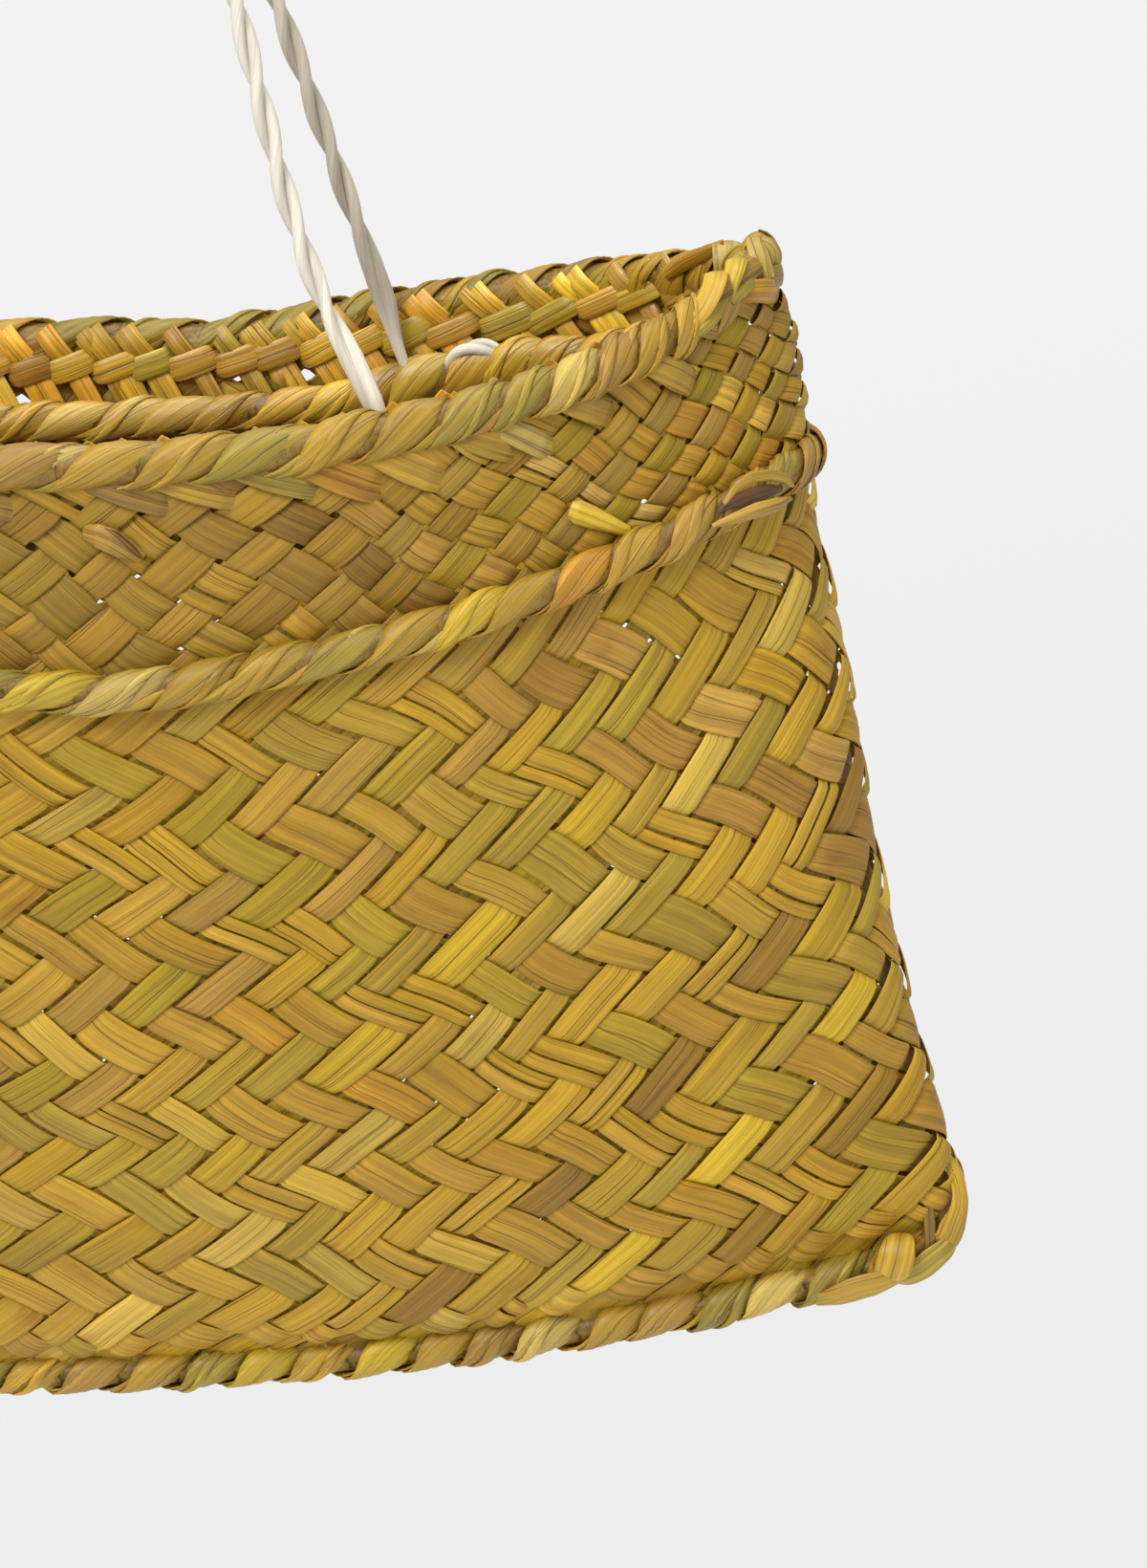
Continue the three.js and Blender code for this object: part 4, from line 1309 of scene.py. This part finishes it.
plait(
    ridge, range(STRIPS), lambda _: (RIDGE_HALF_DEPTH, RIDGE_HALF_HEIGHT),
    lambda station: f"{part_at(station)}_ridge_leaves")

# %% [markdown]
# Under the rim's outer leaves a second row shows: the strips of the wall come out of the plait there,
# spread and bend down to the right before they join the weave. Their lower edges stand a little proud.

# %% Flaps under the rim
FLAP_PLACE = [(-0.3, 7.4, 1.6), (0.02, 9.4, 2.4), (0.32, 11.6, 2.6), (0.62, 14.0, 1.8), (0.86, 16.0, -0.4)]
FLAP_HALF_WIDTHS = [2.4, 3.3, 3.6, 3.5, 3.2]
LAST_FLAP, FLAP_SHARE, FLAP_TILT = 0.87, 0.85, [0, 0, 0.12]
THICK_LEAF = 0.45 * MM


def place_on_wall(station, height, offset):
    """Points set off from the wall, and the wall's outward directions there."""
    outward = unit(wall_point(station, height, MM) - wall_point(station, height, 0.0))
    return wall_point(station, height, offset * MM), outward


def even_steps(values, count=30):
    """Values blended in even steps from one end of a list to the other."""
    values = np.array(values, float)
    columns = values.reshape(len(values), -1).T
    place = np.linspace(0, len(values) - 1, count)
    return np.stack([np.interp(place, np.arange(len(values)), column) for column in columns], -1)


for middle in range(STRIPS):
    if dice.random() < FLAP_SHARE:
        step, drop, offset = even_steps(FLAP_PLACE).T
        drop = drop[0] + (drop - drop[0]) * dice.uniform(0.75, 1.2)
        station = rim_line(middle + dice.uniform(-0.2, 0.2) + step)[3]
        piece = f"{part_at(station[15])}_rim_leaves"
        if np.abs(np.sin(QUARTER * station)).max() < LAST_FLAP:
            line, outward = place_on_wall(station, rim_top(np.sin(QUARTER * station)) - drop * MM, offset)
            half_width = even_steps(FLAP_HALF_WIDTHS)[:, 0] * dice.uniform(0.7, 1.05) * MM
            tint = some_colour(PLAIT_SHARES) * dice.uniform(0.66, 0.9)
            lay_leaf(piece, line, outward + FLAP_TILT, half_width, tint, thickness=THICK_LEAF)

# %% [markdown]
# A few leaves have a way of their own, as in any hand-made bag: a cut end that lies across the ridge, a
# ridge leaf that curls open, with a dark brown leaf laid in its hollow as painted shade, and a strip that
# twists over in the upper band, with thin dark brown leaves along its folds as painted shade. Each is given
# by stations, heights over the ridge's line and distances from the wall, in millimetres.

# %% Stray leaves
# The dark brown of the painted shade in the curled leaf's hollow and along the twisted strip's folds.
CURL_PAINTED_SHADE = np.array([0.12, 0.052, 0.010])
STRAY_LEAVES = [
    ("front_ridge_leaves", LEAF_COLOURS[6], [1.8, 2.5, 2.3, 1.7, 1.2], [
        (0.461, 13.6, 1.8), (0.468, 12.7, 2.7), (0.484, 10.5, 2.8), (0.505, 7.5, 2.8), (0.526, 4.4, 2.4)]),
    ("front_ridge_leaves", CURL_PAINTED_SHADE, [0.4, 1.5, 1.7, 0.9], [
        (0.640, 1.8, 6.9), (0.663, 2.4, 8.0), (0.700, 1.7, 8.2), (0.755, -0.6, 7.2)]),
    ("front_ridge_leaves", LEAF_COLOURS[0] * 0.95, [0.5, 1.0, 1.2, 1.2, 1.0, 0.5], [
        (0.649, 2.9, 7.6), (0.671, 5.0, 8.0), (0.697, 5.3, 8.2), (0.734, 3.6, 8.2), (0.762, 1.2, 8.0),
        (0.781, -1.6, 7.0)]),
    ("front_ridge_leaves", PLAIN_COLOUR * 1.1, [0.5, 1.3, 1.7, 1.5, 0.5], [
        (0.628, -0.4, 7.3), (0.660, -0.6, 8.6), (0.695, -1.2, 8.9), (0.735, -2.6, 8.6),
        (0.772, -3.8, 7.0)]),
    ("front_rim_leaves", PLAIN_COLOUR, [1.6, 2.5, 2.6, 2.2, 1.8], [
        (-0.016, 33.4, 0.6), (-0.004, 33.2, 2.4), (0.009, 31.9, 2.9), (0.022, 29.4, 2.2),
        (0.032, 26.8, 0.2)]),
    ("front_rim_leaves", CURL_PAINTED_SHADE * 1.8, [0.2, 0.6, 0.7, 0.2], [
        (0.004, 34.6, 2.2), (0.014, 33.4, 3.2), (0.025, 30.6, 2.8), (0.034, 27.6, 1.0)]),
]
for piece, tint, half_widths, places in STRAY_LEAVES:
    station, height, offset = even_steps(places).T
    line, outward = place_on_wall(station, ridge_line(np.sin(QUARTER * station)) + height * MM, offset)
    lay_leaf(piece, line, outward, even_steps(half_widths)[:, 0] * MM, tint, arch=0.6 * MM)

# %% [markdown]
# At both ends of the rim a knot closes the corner. It is made of leaves that fold over the rim from
# outside to inside, each one higher than the one before, and a band that wraps level round the tip.
# Their paths are in millimetres from the tip of the rim: outwards, to the back and up. A leaf that goes
# over the rim, or level round the corner, faces away from the middle of its two ends.

# %% Corner knots
AWAY = {"over": np.array([0, 1, 1]), "level": np.array([1, 1, 0]), "across": np.array([1, 0, 1])}
PATH_SPACING = 0.7 * MM
# The bundles inside the knots and ears are the plain leaf colour darkened to three quarters, as painted shade
# for leaves that lie deep between the outer ones.
BUNDLE_SIDES, BUNDLE_PAINTED_SHADE = 16, PLAIN_COLOUR * 0.75


def spread_along(values, count):
    """Values blended in even steps over a count of places."""
    return np.interp(np.linspace(0, 1, count), np.linspace(0, 1, len(values)), values)


def path_leaf(piece, origin, mirror, colour, shade, half_widths, face, path):
    """A leaf along a path in mm, with its face away from the path's middle or in a fixed direction."""
    line, _ = smooth_line(origin + np.array(path) * mirror * MM, PATH_SPACING)
    if isinstance(face, str):
        facing = (line - (line[0] + line[-1]) / 2) * AWAY[face]
    else:
        facing = np.broadcast_to(np.array(face) * mirror, line.shape)
    half_width, tint = spread_along(half_widths, len(line)) * MM, LEAF_COLOURS[colour] * shade
    lay_leaf(piece, line, unit(facing), half_width, tint, arch=0.5 * MM, thickness=THICK_LEAF)


def inner_bundle(piece, origin, mirror, radii, path):
    """The round bundle of leaves inside a knot, which the outer leaves are folded over."""
    line, _ = smooth_line(origin + np.array(path) * mirror * MM, PATH_SPACING)
    along = unit(np.gradient(line, axis=0))
    beside = unit(np.cross([0.3, 0.3, 1.0], along))
    above = np.cross(along, beside)
    around = full_turn(BUNDLE_SIDES)[None, :, None]
    radius = spread_along(radii, len(line))[:, None, None] * MM
    rings = line[:, None] + radius * (np.cos(around) * beside[:, None] + np.sin(around) * above[:, None])
    across, along = 0.3 * np.abs(around[..., 0] - math.pi), 0.07 * np.arange(len(line))[:, None]
    leaf = leaf_places(rings.shape, across, along, 0)
    add_tube(piece, rings, leaf, np.broadcast_to(BUNDLE_PAINTED_SHADE, rings.shape))


CORNER_BUNDLE = [
    (119.0, -21.4, -10.0), (122.0, -19.6, -7.9), (127.0, -15.5, -5.6), (131.5, -10.0, -4.0),
    (133.5, -5.0, -3.2),
    (134.0, 0.0, -3.4), (133.5, 4.5, -4.6), (130.5, 8.5, -6.8), (127.5, 10.5, -8.4)]
CORNER_BUNDLE_RADII = [1.0, 3.0, 3.2, 3.0, 2.8, 2.6, 2.6, 2.4, 1.0]
CORNER_LEAVES = [
    (0, 1.15, [0.9, 1.6, 2.2, 2.5, 2.5, 2.4, 2.2], "over", [
        (115.6, -26.6, -13.6), (118.5, -26.0, -10.5), (121.2, -24.0, -8.2), (123.2, -22.3, -5.4),
        (124.3, -20.3, -3.4), (124.7, -17.5, -2.6), (124.8, -15.0, -4.4), (124.8, -14.0, -9.0)]),
    (2, 0.95, [0.8, 1.7, 1.8, 1.1], (0, -1, 0.2), [
        (117.2, -26.5, -13.5), (120.6, -25.5, -11.5), (123.4, -23.0, -9.6), (125.6, -19.0, -7.1)]),
    (2, 0.85, [0.8, 1.7, 1.8, 1.1], (0, -1, 0.1), [
        (127.4, -18.6, -8.2), (129.0, -17.4, -6.6), (131.0, -15.0, -5.2), (132.4, -12.0, -4.4)]),
    (6, 0.95, [1.5, 1.9, 2.3, 2.2, 2.0], "over", [
        (126.4, -18.5, -8.0), (127.5, -17.7, -4.4), (128.6, -16.0, -2.0), (129.1, -13.0, -1.2),
        (129.3, -11.0, -3.4),
        (129.3, -10.0, -8.0)]),
    (4, 0.8, [2.2, 2.1, 1.7, 1.3, 1.3], "over", [
        (134.6, -9.6, -6.0), (133.9, -9.9, -2.2), (133.1, -8.0, 0.5), (132.8, -4.5, 1.0),
        (132.8, -2.5, -1.5),
        (132.8, -2.0, -5.0)]),
    (0, 0.85, [0.6, 1.0, 1.2, 1.2, 0.8], "across", [
        (130.2, -1.0, -3.8), (131.6, 0.0, -0.8), (133.7, 0.5, 0.5), (135.5, 0.5, -0.8),
        (136.4, 1.0, -3.8)]),
    (4, 0.7, [1.2, 1.9, 2.2, 2.0, 1.2], (1, -0.7, 0.25), [
        (134.6, -1.5, 0.0), (136.3, -2.0, -1.0), (137.3, -2.4, -3.2), (136.8, -2.8, -5.4),
        (135.4, -3.5, -7.6)]),
    (1, 0.8, [1.2, 1.8, 2.0, 1.2], (1, 0.9, 0.25), [
        (133.9, 3.0, 0.2), (136.0, 3.0, -1.0), (137.0, 3.4, -3.6), (136.0, 4.0, -7.4)]),
    (3, 0.9, [2.4, 2.6, 2.7, 2.8, 2.8], "level", [
        (129.0, -14.4, -7.4), (131.4, -14.3, -7.3), (134.3, -12.2, -7.9), (136.4, -6.0, -9.8),
        (137.2, 1.0, -10.6),
        (135.0, 8.0, -9.4), (131.6, 11.5, -8.4), (129.0, 11.5, -8.0)]),
    (2, 0.8, [1.8, 2.3, 2.4, 1.8], "level", [
        (134.0, -9.0, -5.8), (136.9, -5.4, -6.6), (138.2, 0.0, -8.0), (137.0, 6.0, -9.0),
        (134.0, 9.0, -8.6)]),
    (4, 0.75, [2.6, 2.9, 2.9, 2.6], "over", [
        (128.3, 7.4, -12.0), (127.8, 6.8, -8.0), (127.7, 8.0, -4.9), (127.8, 11.0, -3.8),
        (127.8, 14.0, -6.0)]),
    (3, 0.72, [1.0, 1.5, 1.6, 1.5, 0.8], (0.2, -1, 0.3), [
        (115.4, 19.2, -12.4), (118.6, 16.6, -9.4), (121.6, 14.0, -7.2), (124.3, 11.8, -5.4),
        (127.4, 9.5, -3.2)]),
]
rim_tip = np.array([0, 0, float(rim_top(1.0)) - PEG_RISE])
for side, piece in ((1, "right_rim_leaves"), (-1, "left_rim_leaves")):
    inner_bundle(piece, rim_tip, np.array([side, 1, 1]), CORNER_BUNDLE_RADII, CORNER_BUNDLE)
    for leaf in CORNER_LEAVES:
        path_leaf(piece, rim_tip, np.array([side, 1, 1]), *leaf)

for part in PARTS:
    rim_node = f"{part}_rim_plait" if part in ("front", "back") else f"{part}_rim_corner"
    finish_piece(f"{part}_rim_leaves", "bag", "plait_leaf", plait_leaf, rim_node)
    finish_piece(f"{part}_ridge_leaves", "bag", "plait_leaf", plait_leaf, f"{part}_outer_plait")

# %% [markdown]
# The inner plait holds the folded ends down. It lies against them, inside the mouth, and stops short
# of the folds.

# %% Inner plaits
INNER_HALF_HEIGHT, INNER_LOWER, INNER_SPREAD = 4.1 * MM, 1.3 * MM, 0.1
TAIL_RAISES, TAIL_SWELLS = 1.3 * MM, 1.2 * MM
# The inner plait's leaves are brightened by this factor as painted light for the lit inside of the bag.
INNER_LEAVES, INNER_PAINTED_LIGHT = 60, 1.4
INNER_OFFSET = -(HALF_WALL + GAP + FACING_THICKNESS + GAP + INNER_DEPTH / 2)


def near_tail(across):
    """1 where the plait is wound over a cord's tail, and 0 elsewhere."""
    return np.interp(np.abs(across), [0.36, 0.43, 0.64, 0.72], [0.0, 1.0, 1.0, 0.0])


inner = round_line(
    lambda across, _: inner_line(across) - INNER_LOWER + TAIL_RAISES * near_tail(across),
    INNER_OFFSET, INNER_SPREAD)
plait(
    inner, np.arange(INNER_LEAVES) * STRIPS / INNER_LEAVES,
    lambda station: (
        INNER_DEPTH / 2, INNER_HALF_HEIGHT + TAIL_SWELLS * near_tail(np.sin(QUARTER * station))),
    lambda station: inner_side(station) and f"{inner_side(station)}_inner_leaves", flip=-1, glow=INNER_PAINTED_LIGHT)
for part in ("front", "back"):
    finish_piece(f"{part}_inner_leaves", "bag", "plait_leaf", inner_leaf, f"{part}_inner_plait")

# %% [markdown]
# The base plait closes the bag. It runs from fold to fold under both walls.

# %% Base plait
BASE_HALF_LENGTH = BASE_HALF_WIDTH + HALF_WALL
BASE_HALF_DEPTH = SEAM_HALF_DEPTH + HALF_WALL + 0.9 * MM
BASE_HALF_HEIGHT, BASE_MIDDLE_UP = BASE_HEIGHT / 2 + 0.3 * MM, 1.1 * MM
BASE_LEAVES, BASE_FIRST = 27, 1.3


def base_line(u):
    """The base plait's line, from its left end at 0 to its right end."""
    place = 2 * u / BASE_LEAVES - 1
    across = np.clip(place, -1, 1)
    raised = BASE_MIDDLE_UP * np.clip(1.8 - 2.5 * np.abs(across), 0, 1)
    height = base_foot(across) + BASE_HEIGHT / 2 + raised - PEG_RISE
    points = np.stack([BASE_HALF_LENGTH * place, np.zeros(len(u)), height], -1)
    along = unit(np.gradient(points, axis=0))
    outward = np.broadcast_to(np.array([0.0, -1.0, 0.0]), points.shape)
    return points, outward, np.cross(outward, along), across


plait(
    base_line, np.linspace(BASE_FIRST, BASE_LEAVES - BASE_FIRST, BASE_LEAVES - 1),
    lambda _: (BASE_HALF_DEPTH, BASE_HALF_HEIGHT), lambda _: "base_leaves", square=0.75)
finish_piece("base_leaves", "bag", "plait_leaf", plait_leaf, "base_plait")

# %% [markdown]
# At both ends of the base one leaf loops up round the corner and another is folded under it. On the
# front, the last leaf of the base plait turns up over the seam like a thumb. The paths are in millimetres
# from the end of the base plait's line.

# %% Base ears
EAR_LEAVES = [
    (0, 1.0, [2.6, 3.2, 3.2, 2.2, 1.7, 1.7, 1.2], (0.45, -1.0, 0.1), [
        (-8.5, -3.0, -1.8), (-4.9, -4.6, 1.1), (-3.4, -4.5, 4.4), (-1.9, -4, 8.3), (-1.8, -3.4, 12.5),
        (-2.8, -2.6, 16.3),
        (-4.4, -1.0, 18.8)]),
    (1, 0.6, [1.2, 1.3, 1.0], (0.3, -1, 0), [(-8.4, -5.2, -0.8), (-8.4, -5.4, 4.8), (-8.4, -4.0, 10.6)]),
]
FRONT_EAR_LEAVES = [
    (2, 1.15, [2.2, 2.9, 3.0, 3.0, 2.6, 1.6], (0, -1, -0.25), [
        (-17.5, -4, -6.9), (-14.2, -6.4, -5.9), (-10.9, -6.6, -4.6), (-7.8, -6.2, -2.4), (-4.8, -5, -0.4),
        (-3.0, -2.4, 1.2)]),
    (0, 1.0, [1.4, 2.6, 3.2, 3.2, 2.5, 1.6], (0, -1, -0.3), [
        (-33.4, -5.4, -11.4), (-29.1, -7.8, -9.4), (-24.4, -8.6, -7.5), (-19.7, -8.8, -6.2),
        (-15.9, -7.7, -5.4),
        (-13.3, -5.5, -4.6)]),
    (0, 1.12, [2.6, 3.6, 4.0, 3.9, 3.2, 2.4, 2.0], "over", [
        (-17.9, -6.6, -7.2), (-17.2, -9.0, -4.4), (-16.2, -9.6, -1.2), (-15.4, -8.6, 1.6),
        (-14.9, -6.4, 2.9),
        (-14.6, -4.2, 2.2), (-14.5, -3.4, -0.6)]),
]
EAR_BUNDLES = [
    ([2.2, 3.0, 3.0, 2.9, 2.4, 1.4], [
        (-14.0, 0.0, -2.8), (-9.5, 0.0, 0.2), (-6.6, 0.0, 3.4), (-5.2, 0.0, 7.4), (-5.2, 0.0, 11.6),
        (-6.5, 0.0, 16.0)]),
    ([1.4, 2.8, 2.9, 1.4], [(-20.5, -5.0, -4.3), (-17.5, -6.3, -2.4), (-15.5, -6.4, -1.0),
        (-12.0, -5.0, -0.3)]),
]
for side, name in ((1, "right"), (-1, "left")):
    corner = np.array([side * BASE_HALF_LENGTH, 0, float(base_foot(1.0)) + BASE_HEIGHT / 2 - PEG_RISE])
    for bundle in EAR_BUNDLES:
        inner_bundle(f"{name}_ear_leaves", corner, np.array([side, 1, 1]), *bundle)
    on_both_walls = [(leaf, front) for leaf in EAR_LEAVES for front in (1, -1)]
    for leaf, front in on_both_walls + [(leaf, 1) for leaf in FRONT_EAR_LEAVES]:
        path_leaf(f"{name}_ear_leaves", corner, np.array([side, front, 1]), *leaf)
    finish_piece(f"{name}_ear_leaves", "bag", "plait_leaf", plait_leaf, f"{name}_base_ear")

# %% [markdown]
# ## The size
# The box round the visible bag is printed, as the CAD box was at the start. The visible bag has
# to stay inside the CAD box, apart from a little fluff.

# %% Size and finish
shown_box = [list(corner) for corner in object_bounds()]
print("visual box", shown_box)
({"cad": [[float(x) for x in corner] for corner in cad_box],
           "visual": [[float(x) for x in corner] for corner in shown_box]})
